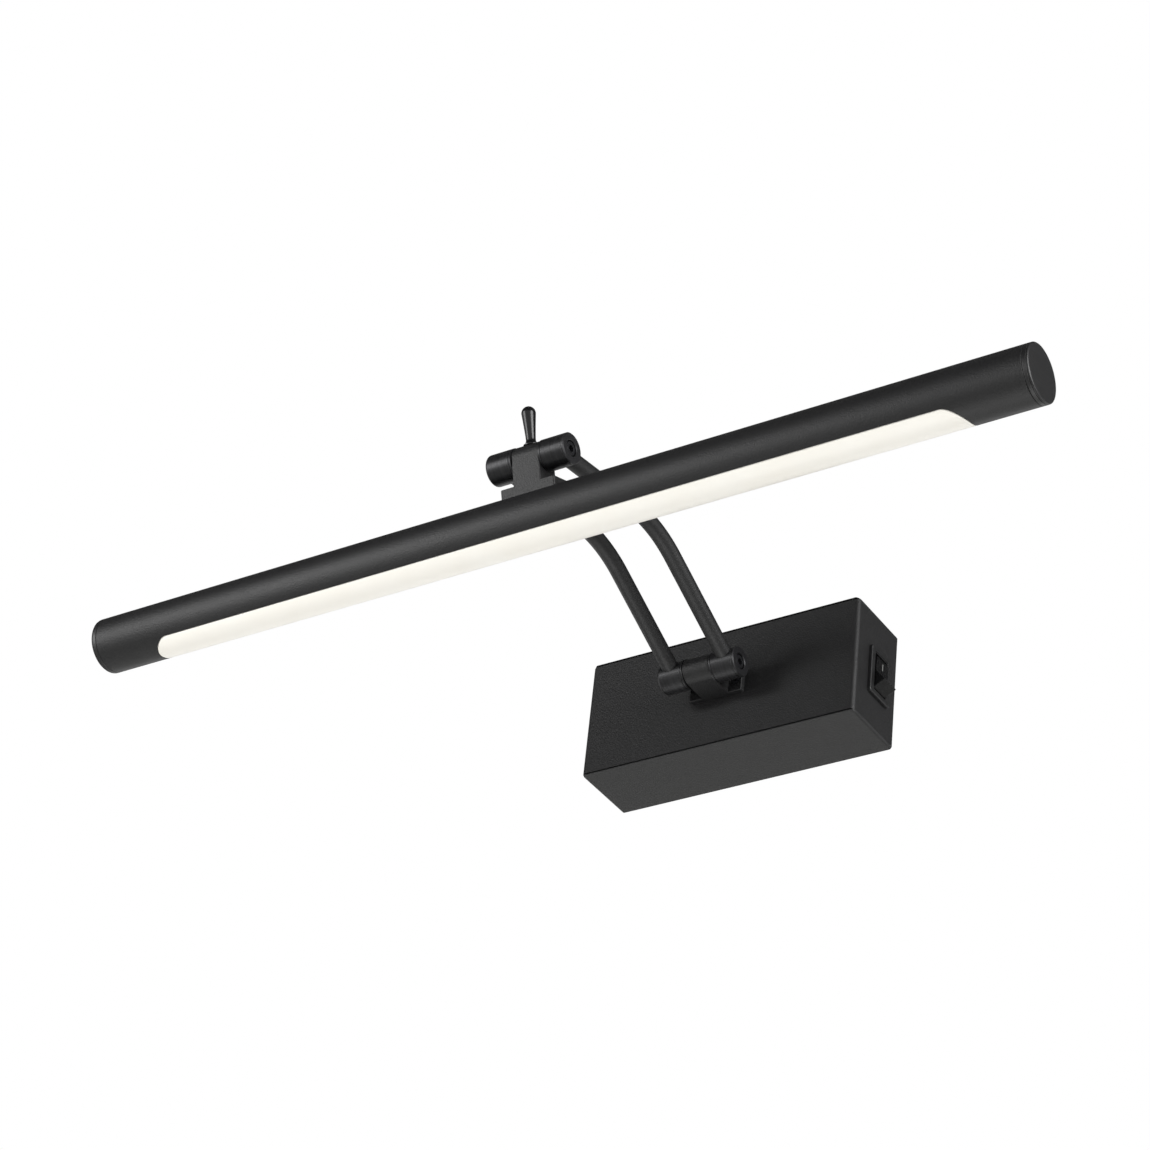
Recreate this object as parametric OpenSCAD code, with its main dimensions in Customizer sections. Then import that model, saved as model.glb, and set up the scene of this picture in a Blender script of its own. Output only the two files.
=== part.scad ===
// Wall-mounted picture light: a box on the wall carries two parallel arms, and the arms carry a
// slim lamp tube.  +X runs along the tube, +Y runs into the wall, +Z is up.  The origin is the
// centre of the wall plate's back face.  All sizes are in millimetres.

/* [Wall box] */
// Width of the wall box
box_w = 120; // [90:1:180]
// Height of the wall box
box_h = 51; // [46:0.5:90]
// Depth of the wall box, from the wall to its front
box_d = 30.4; // [28:0.1:60]
// Wall thickness of the box cover
cover_t = 1.5; // [1:0.1:2.4]
// Radius of the cover's upright front edges
cover_r = 2; // [1:0.1:5]
// Thickness of the wall plate
plate_t = 1.5; // [1:0.1:3]
// Distance between the two wall screws
wall_screw_pitch = 96; // [70:1:130]
// Width of the slots for the wall screws
wall_slot_w = 4.5; // [3.5:0.1:5.5]
// Length of the slots for the wall screws
wall_slot_l = 9; // [6:0.5:12]
// Distance between the two cover screws on top
cover_screw_pitch = 84; // [50:1:110]
// Diameter of the cover screws
cover_screw_d = 3; // [2.5:0.5:4]

/* [Switch] */
// Height of the switch bezel
switch_h = 21; // [19:0.5:30]
// Width of the switch bezel
switch_w = 15; // [13:0.5:20]
// Thickness of the bezel outside the cover
bezel_t = 1.5; // [1:0.1:3]
// Depth of the switch housing inside the cover
switch_depth = 13; // [10:0.5:22]
// Distance of the switch centre from the wall
switch_out = 13.5; // [10:0.5:20]
// Height of the switch centre over the middle of the box
switch_up = -1; // [-10:0.5:10]
// Width of the rocker
rocker_w = 8.8; // [8:0.1:12]
// Radius that the rocker's two ends swing on
rocker_r = 8; // [6:0.1:8.6]
// Tilt of the rocker to each side of its middle
rocker_tilt = 12; // [6:1:15]
// Slope of the rocker's two halves away from its valley
rocker_slope = 18; // [8:1:24]

/* [Knuckles] */
// Height of a knuckle, from its seat to the pivot
knuckle_h = 12.3; // [11:0.1:20]
// Length of a knuckle's flange
flange_l = 23; // [20:0.5:40]
// Width of a knuckle's flange
flange_w = 10.6; // [9:0.1:16]
// Thickness of a knuckle's flange
flange_t = 2.3; // [1.5:0.1:4]
// Width of a knuckle's pillar along the pivot
pillar_w = 11.6; // [9:0.1:14]
// Thickness of a knuckle's pillar
pillar_t = 10.6; // [7:0.1:11]
// Distance from the pivot to the tip of the nose
nose_h = 5.8; // [5.3:0.1:7]
// Distance from the middle to each flange screw
flange_screw_x = 8.7; // [8:0.1:12]
// Diameter of the flange screws
flange_screw_d = 2.5; // [2:0.1:3]
// Diameter of the pivot bolts
bolt_d = 3; // [2.5:0.1:4]
// Diameter of a pivot bolt's head
bolt_head_d = 5.5; // [4.5:0.1:6]
// Height of a pivot bolt's head
bolt_head_h = 3; // [2:0.1:3.5]
// Thickness of the friction washers
washer_t = 0.9; // [0.5:0.1:2]
// Diameter of the collars
collar_d = 12; // [11:0.1:16]
// Length of the collars
collar_l = 10.2; // [9.5:0.1:16]
// Radius of the rounded edge on the closed collars
collar_edge_r = 1.2; // [0.4:0.1:2]

/* [Arms] */
// Diameter of the arm rods
rod_d = 6.5; // [5:0.1:8]
// Wall thickness of the arm rods
rod_wall = 1; // [0.6:0.1:1.5]
// Straight length from each pivot to the bend
arm_leg = 49.4; // [30:0.1:120]
// Radius of the bend
bend_r = 50; // [20:1:120]
// Angle of the bend
bend_a = 34; // [10:1:60]
// Angle at which the arms rise from the wall box
arm_rise = 25; // [0:1:60]

/* [Lamp tube] */
// Diameter of the lamp tube
tube_d = 21.6; // [20:0.1:32]
// Wall thickness of the lamp tube
tube_wall = 1.2; // [0.8:0.1:1.6]
// Length of the lamp tube between its caps
tube_l = 393; // [300:1:800]
// Lean of the upper knuckle towards the room
head_lean = 19.3; // [0:0.1:30]
// Thickness of the upper knuckle's saddle on top of the tube
saddle_t = 2.4; // [1.5:0.1:5]
// Thickness of the cap discs
cap_t = 2.5; // [2:0.1:5]
// Length of a cap's spigot inside the tube
cap_spigot = 8; // [4:0.5:15]
// Wall thickness of a cap's spigot
cap_wall = 1.5; // [1:0.1:2.5]
// Distance from each end of the tube to the light slot
slot_end = 24.3; // [18:0.1:60]
// Width of the light slot
slot_w = 18.1; // [12:0.1:18.4]
// Corner radius of the light slot
slot_r = 8; // [3:0.1:9]
// Thickness of the diffuser
diffuser_t = 2.2; // [1.6:0.1:3]

/* [Light source] */
// Thickness of the LED carrier
carrier_t = 2; // [1.5:0.1:3]
// Distance from the tube's axis to the carrier's face
carrier_up = 2; // [1:0.1:4]
// Width of the LED board
board_w = 10; // [6:0.5:12]
// Thickness of the LED board
board_t = 1; // [0.6:0.1:1.6]
// Distance between LEDs
led_pitch = 9.6; // [6:0.1:20]
// Length of an LED along the board
led_l = 3.5; // [2:0.1:5]
// Width of an LED
led_w = 2.8; // [1.5:0.1:4]
// Height of an LED
led_h = 0.75; // [0.5:0.05:1.2]

/* [Clamp lever] */
// Diameter of the lever's foot
lever_foot_d = 5.8; // [5:0.1:8]
// Diameter of the lever's neck
lever_neck_d = 3.6; // [3.2:0.1:4.5]
// Diameter of the lever's round tip
lever_tip_d = 5.3; // [4:0.1:8]
// Height of the lever over the nose
lever_h = 15.3; // [13:0.1:30]
// Diameter of the lever's stud
stud_d = 3; // [2.5:0.1:3]

/* [Inside the wall box] */
// Length of the LED driver
driver_l = 60; // [40:1:70]
// Width of the LED driver
driver_w = 26; // [20:0.5:28]
// Height of the LED driver
driver_h = 16; // [12:0.5:18]
// Length of the terminal block
block_l = 24; // [16:1:30]
// Width of the terminal block
block_w = 10; // [8:0.5:12]
// Height of the terminal block
block_h = 9; // [8:0.5:12]
// Diameter of the cable hole through the grommet
cable_d = 7; // [5:0.1:9]
// Diameter of the inner leads
lead_d = 1.8; // [1.2:0.1:2.4]

/* [Hidden] */

// Clearances
fit = 0.1;            // pieces that are pushed together
screw_fit = 0.2;      // a screw in a plain hole, on the radius
thread_fit = 0.02;    // a screw in its thread, on the radius
running = 0.05;       // a shaft that turns in its bore, on the radius
side_play = 0.05;     // between a pillar and a friction washer
panel_gap = 0.2;      // a housing in its cut-out, on each side
saddle_gap = 0.03;    // the saddle on the lamp tube, on the radius

// The lamp tube and what lies in it, measured from the tube's axis
tube_r = tube_d / 2;
tube_ir = tube_r - tube_wall;
slot_l = tube_l - 2 * slot_end;
inner_r = tube_ir - fit;
diffuser_lip = 3;
diffuser_ir = inner_r - diffuser_t + tube_wall;
cap_edge_r = 0.6;
carrier_gap = 1.5;
carrier_screw_d = 2;
nut_bar_w = 7;
nut_bar_t = 2.8;
carrier_l = tube_l - 2 * (cap_spigot + 1);
board_end = 4;
led_count = floor((slot_l - 2 * board_end) / led_pitch);
board_l = led_count * led_pitch;
carrier_screw_x = board_l / 2 - 3 * led_pitch;

// The knuckles' screws grip the cover and the backing plate, or the tube and the nut bar
backing_t = 2;
flange_screw_l = flange_t + cover_t + backing_t + 0.2;
screw_head_r = 0.85 * flange_screw_d;
screw_head_h = 1.3;
screw_hex_d = 1.7;
screw_hex_h = 0.9;
head_drop = knuckle_h - flange_t + saddle_t + tube_r;

// Pivots: A is the lower one and B the upper one, as distances out from the wall and up
arm_apex = arm_leg + bend_r * tan(bend_a / 2);
pivot_a = [box_d + knuckle_h, 0];
pivot_b = pivot_a + arm_apex * [cos(arm_rise), sin(arm_rise)]
          + arm_apex * [cos(arm_rise - bend_a), sin(arm_rise - bend_a)];
// Turn about X from straight up to the rods' direction at each pivot
lower_aim = 90 - arm_rise;
upper_aim = bend_a - arm_rise - 90;

// Along the pivots
washer_x = pillar_w / 2 + side_play;
collar_x = washer_x + washer_t;
collar_end = collar_x + collar_l;
rod_x = collar_x + collar_l / 2;
bend_step = 0.01;
bend_lap = 0.2;
bolt_r = bolt_d / 2;
rod_start = bolt_head_d / 2 + 0.6;
counterbore_d = bolt_head_d + 0.7;
counterbore_h = bolt_head_h + 0.4;
bolt_blind = 2;
bore_end = collar_end - bolt_blind;
bolt_hex_d = 2.9;
bolt_hex_h = 1.6;

// The clamp lever, from the upper pivot: its foot lies in a shallow spot face on the nose
lever_spot = 0.5;
lever_seat = nose_h - lever_spot + 0.05;
stud_in = 3;
pad_h = 1.2;

// The switch
switch_y = -switch_out;
rocker_pin_d = 2;
rocker_pin_l = 0.8;
rocker_gap = 0.2;
rocker_depth = 5;
rocker_in = 1;
rocker_valley = 1.4;
rocker_lip = 0.7 * rocker_r;
rocker_finger = 1.5;   // by which the lower lip stands out more than the upper one
housing_h = switch_h - 2.2;
housing_w = switch_w - 2.5;
blade_w = 4.8;
blade_t = 0.8;
blade_l = 7;
blade_z = 4.5;

// Inside the box
plate_w = box_w - 2 * (cover_t + panel_gap);
plate_h = box_h - 2 * (cover_t + panel_gap);
tab_l = 14;
tab_d = 10;
cover_screw_y = -(plate_t + tab_d) / 2 - 1;
driver_x = -10;
driver_z = -(box_h / 2 - cover_t - 2) + driver_w / 2;
driver_front = plate_t + driver_h;
ear_l = 5;
ear_t = 2;
driver_screw_d = 3;
grommet_lip = 1.5;
grommet_d = cable_d + 3;
terminal_screw_d = 4;
earth_screw_d = 4;
block_x = 8;
block_z = box_h / 2 - cover_t - 5 - block_w / 2;
block_pitch = block_l / 3;
cable_x = 32;
cable_z = 4;
earth_x = 32;
earth_z = -14;
lead_r = lead_d / 2;
small = 0.01;

// Places a child drawn about a pivot, with the nose along +Z
module at_lower() { translate([0, -pivot_a[0], pivot_a[1]]) rotate([90, 0, 0]) children(); }
module at_upper() { translate([0, -pivot_b[0], pivot_b[1]]) rotate([head_lean, 0, 0]) children(); }
module at_tube() { at_upper() translate([0, 0, -head_drop]) children(); }
// A cylinder along X from x0 to x1
module rod_along_x(r, x0, x1, fn = 64) {
  translate([x0, 0, 0]) rotate([0, 90, 0]) cylinder(r = r, h = x1 - x0, $fn = fn);
}
// A rounded rectangle made of true arcs
module round_rect(l, w, r) {
  square([l - 2 * r, w], center = true);
  square([l, w - 2 * r], center = true);
  for (sx = [-1, 1], sy = [-1, 1]) translate([sx * (l / 2 - r), sy * (w / 2 - r)])
    circle(r, $fn = 48);
}
// A ring along X
module ring_x(r_out, r_in, x0, x1) {
  difference() {
    rod_along_x(r_out, x0, x1, 96);
    rod_along_x(r_in, x0 - 1, x1 + 1, 96);
  }
}
// A lead swept along a list of points, with flat ends
function unit(v) = v / norm(v);
function along(p, i) = unit(p[min(i + 1, len(p) - 1)] - p[max(i - 1, 0)]);
function side_of(t) = unit(cross(t, abs(t[2]) < 0.9 ? [0, 0, 1] : [1, 0, 0]));
module lead(p, r = lead_r, n = 8) {
  rings = [for (i = [0 : len(p) - 1])
    let (t = along(p, i), u = side_of(t), v = cross(t, u))
    for (k = [0 : n - 1]) p[i] + r * (cos(360 * k / n) * u + sin(360 * k / n) * v)];
  sides = [for (i = [0 : len(p) - 2], k = [0 : n - 1])
    [i * n + k, i * n + (k + 1) % n, (i + 1) * n + (k + 1) % n, (i + 1) * n + k]];
  first = [for (k = [n - 1 : -1 : 0]) k];
  last = [for (k = [0 : n - 1]) (len(p) - 1) * n + k];
  polyhedron(rings, concat(sides, [first], [last]));
}

// ---- the wall box ----
module cover_outline(inset) {
  w = box_w - 2 * inset;
  d = box_d - inset;
  r = cover_r - (inset > 0 ? min(inset, cover_r - 0.5) : 0);
  translate([-w / 2, -d + r]) square([w, d - r + inset]);
  translate([-w / 2 + r, -d]) square([w - 2 * r, d + inset]);
  for (sx = [-1, 1]) translate([sx * (w / 2 - r), -d + r]) circle(r, $fn = 48);
}
module box_cover() {
  color([0.13, 0.13, 0.14]) difference() {
    translate([0, 0, -box_h / 2]) linear_extrude(box_h) cover_outline(0);
    translate([0, 0, -box_h / 2 + cover_t]) linear_extrude(box_h - 2 * cover_t) cover_outline(cover_t);
    translate([box_w / 2 - 2 * cover_t, switch_y, switch_up])
      translate([0, -housing_w / 2 - panel_gap, -housing_h / 2 - panel_gap])
      cube([4 * cover_t, housing_w + 2 * panel_gap, housing_h + 2 * panel_gap]);
    for (s = [-1, 1]) {
      translate([s * flange_screw_x, 0, 0]) rotate([90, 0, 0])
        translate([0, 0, box_d - 2 * cover_t])
        cylinder(d = flange_screw_d + 2 * screw_fit, h = 4 * cover_t, $fn = 32);
      translate([s * cover_screw_pitch / 2, cover_screw_y, box_h / 2 - 2 * cover_t])
        cylinder(d = cover_screw_d + 2 * screw_fit, h = 4 * cover_t, $fn = 32);
    }
  }
}
module wall_plate() {
  color([0.75, 0.76, 0.78]) difference() {
    union() {
      translate([-plate_w / 2, -plate_t, -plate_h / 2]) cube([plate_w, plate_t, plate_h]);
      for (s = [-1, 1], u = [-1, 1])
        translate([s * cover_screw_pitch / 2 - tab_l / 2, -tab_d, u * (plate_h - plate_t) / 2 - plate_t / 2])
        cube([tab_l, tab_d, plate_t]);
    }
    for (s = [-1, 1]) {
      translate([s * wall_screw_pitch / 2, plate_t, 0]) rotate([90, 0, 0]) linear_extrude(3 * plate_t) {
        square([wall_slot_l - wall_slot_w, wall_slot_w], center = true);
        for (e = [-1, 1]) translate([e * (wall_slot_l - wall_slot_w) / 2, 0])
          circle(d = wall_slot_w, $fn = 48);
      }
      translate([s * cover_screw_pitch / 2, cover_screw_y, plate_h / 2 - 2 * plate_t])
        cylinder(r = cover_screw_d / 2 + thread_fit, h = 4 * plate_t, $fn = 32);
      translate([driver_x + s * (driver_l / 2 + ear_l / 2), plate_t, driver_z]) rotate([90, 0, 0])
        cylinder(r = driver_screw_d / 2 + thread_fit, h = 3 * plate_t, $fn = 32);
    }
    translate([cable_x, plate_t, cable_z]) rotate([90, 0, 0])
      cylinder(d = grommet_d, h = 3 * plate_t, $fn = 48);
    translate([earth_x, plate_t, earth_z]) rotate([90, 0, 0])
      cylinder(r = earth_screw_d / 2 + thread_fit, h = 3 * plate_t, $fn = 32);
  }
}
module cable_grommet() {
  color([0.08, 0.08, 0.08]) translate([cable_x, 0, cable_z]) rotate([90, 0, 0]) difference() {
    union() {
      cylinder(d = grommet_d - 2 * fit, h = plate_t + grommet_lip, $fn = 48);
      translate([0, 0, plate_t]) cylinder(d = grommet_d + 2 * grommet_lip, h = grommet_lip, $fn = 48);
    }
    translate([0, 0, -1]) cylinder(d = cable_d, h = plate_t + 4, $fn = 48);
  }
}
module pan_screw(d, l, head_d, head_h) {
  cylinder(d = head_d, h = head_h, $fn = 32);
  translate([0, 0, -l]) cylinder(d = d, h = l + small, $fn = 32);
}
module cover_screws() {
  color([0.1, 0.1, 0.1]) for (s = [-1, 1])
    translate([s * cover_screw_pitch / 2, cover_screw_y, box_h / 2]) difference() {
      pan_screw(cover_screw_d, 6, 2 * cover_screw_d - 0.5, 1.7);
      translate([0, 0, 0.7]) cylinder(d = 2, h = 2, $fn = 6);
    }
}
module led_driver() {
  color([0.9, 0.9, 0.88]) translate([driver_x, 0, driver_z]) difference() {
    union() {
      translate([-driver_l / 2, -driver_front, -driver_w / 2]) cube([driver_l, driver_h, driver_w]);
      for (s = [-1, 1])
        translate([s * (driver_l / 2 + ear_l / 2 - small) - ear_l / 2, -plate_t - ear_t, -ear_l])
        cube([ear_l, ear_t, 2 * ear_l]);
    }
    for (s = [-1, 1]) translate([s * (driver_l / 2 + ear_l / 2), 0, 0]) rotate([90, 0, 0])
      cylinder(r = driver_screw_d / 2 + screw_fit, h = driver_h, $fn = 32);
  }
}
module driver_screws() {
  color([0.8, 0.8, 0.8]) for (s = [-1, 1])
    translate([driver_x + s * (driver_l / 2 + ear_l / 2), -plate_t - ear_t, driver_z]) rotate([90, 0, 0])
    pan_screw(driver_screw_d, ear_t + plate_t - 0.3, 4.6, 1.8);
}
module terminal_block() {
  color([0.85, 0.83, 0.75]) difference() {
    translate([block_x - block_l / 2, -plate_t - block_h, block_z - block_w / 2])
      cube([block_l, block_h, block_w]);
    for (i = [-1 : 1]) translate([block_x + i * block_pitch, -plate_t - block_h, block_z])
      rotate([90, 0, 0]) translate([0, 0, -4]) cylinder(d = terminal_screw_d + 2 * fit, h = 8, $fn = 32);
  }
}
module terminal_screws() {
  color([0.8, 0.7, 0.4]) for (i = [-1 : 1])
    translate([block_x + i * block_pitch, -plate_t - block_h, block_z]) rotate([90, 0, 0]) difference() {
      translate([0, 0, -4]) cylinder(d = terminal_screw_d, h = 3, $fn = 32);
      translate([-3, -0.4, -1.8]) cube([6, 0.8, 2]);
    }
}
module earth_screw() {
  color([0.8, 0.7, 0.4]) translate([earth_x, -plate_t, earth_z]) rotate([90, 0, 0])
    pan_screw(earth_screw_d, plate_t - 0.2, 7.5, 2.6);
}
// Leads from the terminal block into the top of the driver
module driver_leads() {
  top = driver_z + driver_w / 2;
  for (i = [0 : 1]) color(i == 0 ? "saddlebrown" : "royalblue")
    translate([block_x + (i - 1) * block_pitch, -plate_t - 4, top])
    cylinder(d = lead_d, h = block_z - block_w / 2 - top, $fn = 24);
}
// Leads from the terminal block to the two switch blades, straight at both ends
module switch_leads() {
  x0 = block_x + block_l / 2;
  x1 = box_w / 2 - switch_depth - blade_l;
  y0 = -plate_t - 5;
  for (i = [0 : 1]) color("saddlebrown") {
    z0 = block_z + (i == 0 ? 2.5 : -2.5);
    z1 = switch_up + (i == 0 ? blade_z : -blade_z);
    lead([for (k = [0 : 14]) let (t = min(max((k - 1) / 12, 0), 1), s = t * t * (3 - 2 * t))
      [x0 + (x1 - x0) * k / 14, y0 + (switch_y - y0) * s, z0 + (z1 - z0) * s]]);
  }
}

// ---- the switch ----
module switch_housing() {
  px = box_w / 2;
  color([0.06, 0.06, 0.06]) translate([0, switch_y, switch_up]) difference() {
    union() {
      translate([px, 0, 0]) rotate([0, 90, 0]) linear_extrude(bezel_t) round_rect(switch_h, switch_w, 1.2);
      translate([px - switch_depth, -housing_w / 2, -housing_h / 2])
        cube([switch_depth + small, housing_w, housing_h]);
    }
    translate([px - rocker_depth - rocker_in, -rocker_w / 2 - rocker_gap, -rocker_r - rocker_gap])
      cube([rocker_depth + rocker_in + 2 * bezel_t, rocker_w + 2 * rocker_gap, 2 * (rocker_r + rocker_gap)]);
    translate([px - rocker_in, -rocker_w / 2 - rocker_pin_l - 2 * rocker_gap, 0]) rotate([-90, 0, 0])
      cylinder(r = rocker_pin_d / 2 + running, h = rocker_w + 2 * rocker_pin_l + 4 * rocker_gap, $fn = 32);
  }
}
module switch_terminals() {
  px = box_w / 2 - switch_depth;
  color([0.85, 0.85, 0.85]) for (s = [-1, 1])
    translate([px - blade_l, switch_y - blade_w / 2, switch_up + s * blade_z - blade_t / 2])
    cube([blade_l, blade_w, blade_t]);
}
// Drawn at rest: the lower half stands out and the upper half lies in the bezel
module rocker() {
  back = -rocker_depth + 1.6;
  valley = rocker_valley + rocker_in;
  lip_out = valley + rocker_lip * tan(rocker_slope);
  end = rocker_r - 0.1;
  color([0.05, 0.05, 0.05]) translate([box_w / 2 - rocker_in, switch_y, switch_up])
    rotate([0, -rocker_tilt, 0]) rotate([90, 0, 0]) union() {
      translate([0, 0, -rocker_w / 2]) linear_extrude(rocker_w)
        polygon([[back, -3], [0, -end], [lip_out + rocker_finger, -rocker_lip - 0.4 * rocker_finger],
                 [valley + rocker_finger / 3, -rocker_finger / 2],
                 [lip_out, rocker_lip], [0, end], [back, 3]]);
      cylinder(d = rocker_pin_d, h = rocker_w + 2 * rocker_pin_l, center = true, $fn = 32);
    }
}

// ---- the knuckles ----
module knuckle_body() {
  r = pillar_t / 2;
  translate([-pillar_w / 2, -r, -knuckle_h + small]) cube([pillar_w, pillar_t, knuckle_h + nose_h - r]);
  translate([0, 0, nose_h - r]) rod_along_x(r, -pillar_w / 2, pillar_w / 2, 96);
}
module knuckle_holes() {
  rod_along_x(bolt_r + running, -pillar_w, pillar_w, 48);
  for (s = [-1, 1]) translate([s * flange_screw_x, 0, -knuckle_h + flange_t]) {
    translate([0, 0, -10]) cylinder(d = flange_screw_d + 2 * screw_fit, h = 20, $fn = 32);
    translate([0, 0, -screw_head_h]) cylinder(r1 = flange_screw_d / 2 + screw_fit,
      r2 = screw_head_r + screw_fit, h = screw_head_h, $fn = 48);
  }
}
module lower_knuckle() {
  color([0.12, 0.12, 0.13]) at_lower() difference() {
    union() {
      translate([-flange_l / 2, -flange_w / 2, -knuckle_h]) cube([flange_l, flange_w, flange_t]);
      knuckle_body();
    }
    knuckle_holes();
  }
}
module upper_knuckle() {
  depth = head_drop - knuckle_h + flange_t;
  color([0.12, 0.12, 0.13]) at_upper() difference() {
    union() {
      translate([-flange_l / 2, -flange_w / 2, -head_drop]) cube([flange_l, flange_w, depth]);
      knuckle_body();
    }
    translate([0, 0, -head_drop]) rod_along_x(tube_r + saddle_gap, -flange_l, flange_l, 128);
    knuckle_holes();
    cylinder(r = stud_d / 2 + running, h = 2 * nose_h, $fn = 32);
    translate([0, 0, nose_h - lever_spot]) cylinder(d = lever_foot_d + 2 * fit, h = nose_h, $fn = 64);
  }
}
module flange_screw_pair() {
  for (s = [-1, 1]) translate([s * flange_screw_x, 0, -knuckle_h + flange_t]) difference() {
    union() {
      translate([0, 0, -screw_head_h])
        cylinder(r1 = flange_screw_d / 2, r2 = screw_head_r, h = screw_head_h, $fn = 48);
      translate([0, 0, -flange_screw_l])
        cylinder(d = flange_screw_d, h = flange_screw_l - screw_head_h + small, $fn = 32);
    }
    translate([0, 0, -screw_hex_h]) cylinder(d = screw_hex_d, h = 2 * screw_hex_h, $fn = 6);
  }
}
module lower_flange_screws() { color([0.1, 0.1, 0.1]) at_lower() flange_screw_pair(); }
module upper_flange_screws() { color([0.1, 0.1, 0.1]) at_upper() flange_screw_pair(); }
module backing_plate() {
  w = 2 * flange_screw_x + 16;
  color([0.7, 0.7, 0.7]) translate([0, -box_d + cover_t, 0]) difference() {
    translate([-w / 2, 0, -flange_w / 2]) cube([w, backing_t, flange_w]);
    for (s = [-1, 1]) translate([s * flange_screw_x, 2 * backing_t, 0]) rotate([90, 0, 0])
      cylinder(r = flange_screw_d / 2 + thread_fit, h = 4 * backing_t, $fn = 32);
  }
}
// A closed collar on the left: the bolt's thread ends inside it
module closed_collar(aim) {
  difference() {
    rotate([0, -90, 0]) translate([0, 0, collar_x]) rotate_extrude($fn = 96) {
      square([collar_d / 2, collar_l - collar_edge_r]);
      square([collar_d / 2 - collar_edge_r, collar_l]);
      translate([collar_d / 2 - collar_edge_r, collar_l - collar_edge_r])
        intersection() {
          circle(collar_edge_r, $fn = 48);
          square(2 * collar_edge_r);
        }
    }
    rod_along_x(bolt_r + thread_fit, -bore_end, -collar_x + 1, 48);
    rod_socket(-1, aim);
  }
}
// An open collar on the right: the bolt's head lies in its counterbore
module open_collar(aim) {
  difference() {
    rod_along_x(collar_d / 2, collar_x, collar_end, 96);
    rod_along_x(bolt_r + screw_fit, collar_x - 1, collar_end + 1, 48);
    rod_along_x(counterbore_d / 2, collar_end - counterbore_h, collar_end + 1, 64);
    rod_socket(1, aim);
  }
}
// The blind hole that takes a rod's end, at an angle from the nose's direction about X
module rod_socket(side, aim) {
  translate([side * rod_x, 0, 0]) rotate([aim, 0, 0]) translate([0, 0, rod_start - 0.3])
    cylinder(r = rod_d / 2 + running, h = collar_d, $fn = 64);
}
module at_pivot(p) { translate([0, -p[0], p[1]]) children(); }
module lower_collar_left() { color([0.2, 0.2, 0.2]) at_pivot(pivot_a) closed_collar(lower_aim); }
module lower_collar_right() { color([0.2, 0.2, 0.2]) at_pivot(pivot_a) open_collar(lower_aim); }
module upper_collar_left() { color([0.2, 0.2, 0.2]) at_pivot(pivot_b) closed_collar(upper_aim); }
module upper_collar_right() { color([0.2, 0.2, 0.2]) at_pivot(pivot_b) open_collar(upper_aim); }
module pivot_bolt() {
  head_x = collar_end - counterbore_h;
  color([0.35, 0.35, 0.36]) difference() {
    union() {
      rod_along_x(bolt_r, -bore_end + 0.5, head_x + small, 48);
      rod_along_x(bolt_head_d / 2, head_x, head_x + bolt_head_h, 64);
    }
    translate([head_x + bolt_head_h - bolt_hex_h, 0, 0]) rotate([0, 90, 0])
      cylinder(d = bolt_hex_d, h = 2 * bolt_hex_h, $fn = 6);
  }
}
module lower_pivot_bolt() { at_pivot(pivot_a) pivot_bolt(); }
module upper_pivot_bolt() { at_pivot(pivot_b) pivot_bolt(); }
module washer_pair() {
  color([0.25, 0.25, 0.25]) for (s = [-1, 1]) translate([s * (washer_x + washer_t / 2), 0, 0])
    ring_x(collar_d / 2, bolt_r + screw_fit, -washer_t / 2, washer_t / 2);
}
module lower_washers() { at_pivot(pivot_a) washer_pair(); }
module upper_washers() { at_pivot(pivot_b) washer_pair(); }

// ---- the arms ----
// Drawn in a plane: local +X runs out from the wall and local +Y runs up.  The bend is a hair
// thicker than the two legs that lap into it, so that their surfaces cross cleanly.
module rod_path(r, leg_r, over) {
  leg = arm_leg - rod_start + over + bend_lap;
  translate([pivot_a[0], pivot_a[1], 0]) rotate([0, 0, arm_rise]) {
    translate([rod_start - over, 0, 0]) rotate([0, 90, 0]) cylinder(r = leg_r, h = leg, $fn = 64);
    translate([arm_leg, -bend_r, 0]) {
      rotate([0, 0, 90 - bend_a]) rotate_extrude(angle = bend_a, $fn = 180)
        translate([bend_r, 0]) circle(r, $fn = 64);
      rotate([0, 0, -bend_a]) translate([-bend_lap, bend_r, 0]) rotate([0, 90, 0])
        cylinder(r = leg_r, h = leg, $fn = 64);
    }
  }
}
module arm_rod(x) {
  r = rod_d / 2;
  bore = r - rod_wall;
  color([0.15, 0.15, 0.16]) translate([x, 0, 0]) rotate([90, 0, -90]) difference() {
    rod_path(r, r - bend_step, 0);
    rod_path(bore, bore + bend_step, 1);
  }
}
module arm_rod_left() { arm_rod(-rod_x); }
module arm_rod_right() { arm_rod(rod_x); }

// ---- the lamp head ----
module slot_outline(grow) { round_rect(slot_l + 2 * grow, slot_w + 2 * grow, slot_r + grow); }
module lamp_tube() {
  color([0.14, 0.14, 0.15]) at_tube() difference() {
    ring_x(tube_r, tube_ir, -tube_l / 2, tube_l / 2);
    translate([0, 0, -2 * tube_r]) linear_extrude(2 * tube_r) slot_outline(0);
    for (s = [-1, 1]) translate([s * flange_screw_x, 0, 0])
      cylinder(d = flange_screw_d + 2 * screw_fit, h = 2 * tube_r, $fn = 32);
  }
}
module end_cap(side) {
  color([0.1, 0.1, 0.1]) at_tube() rotate([0, side * 90, 0]) translate([0, 0, tube_l / 2]) difference() {
    rotate_extrude($fn = 128) {
      square([tube_r, cap_t - cap_edge_r]);
      square([tube_r - cap_edge_r, cap_t]);
      translate([tube_r - cap_edge_r, cap_t - cap_edge_r]) circle(cap_edge_r, $fn = 32);
      translate([0, -cap_spigot]) square([inner_r, cap_spigot + small]);
    }
    translate([0, 0, -cap_spigot - 1]) cylinder(r = inner_r - cap_wall, h = cap_spigot + 1, $fn = 96);
  }
}
module end_cap_left() { end_cap(-1); }
module end_cap_right() { end_cap(1); }
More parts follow.
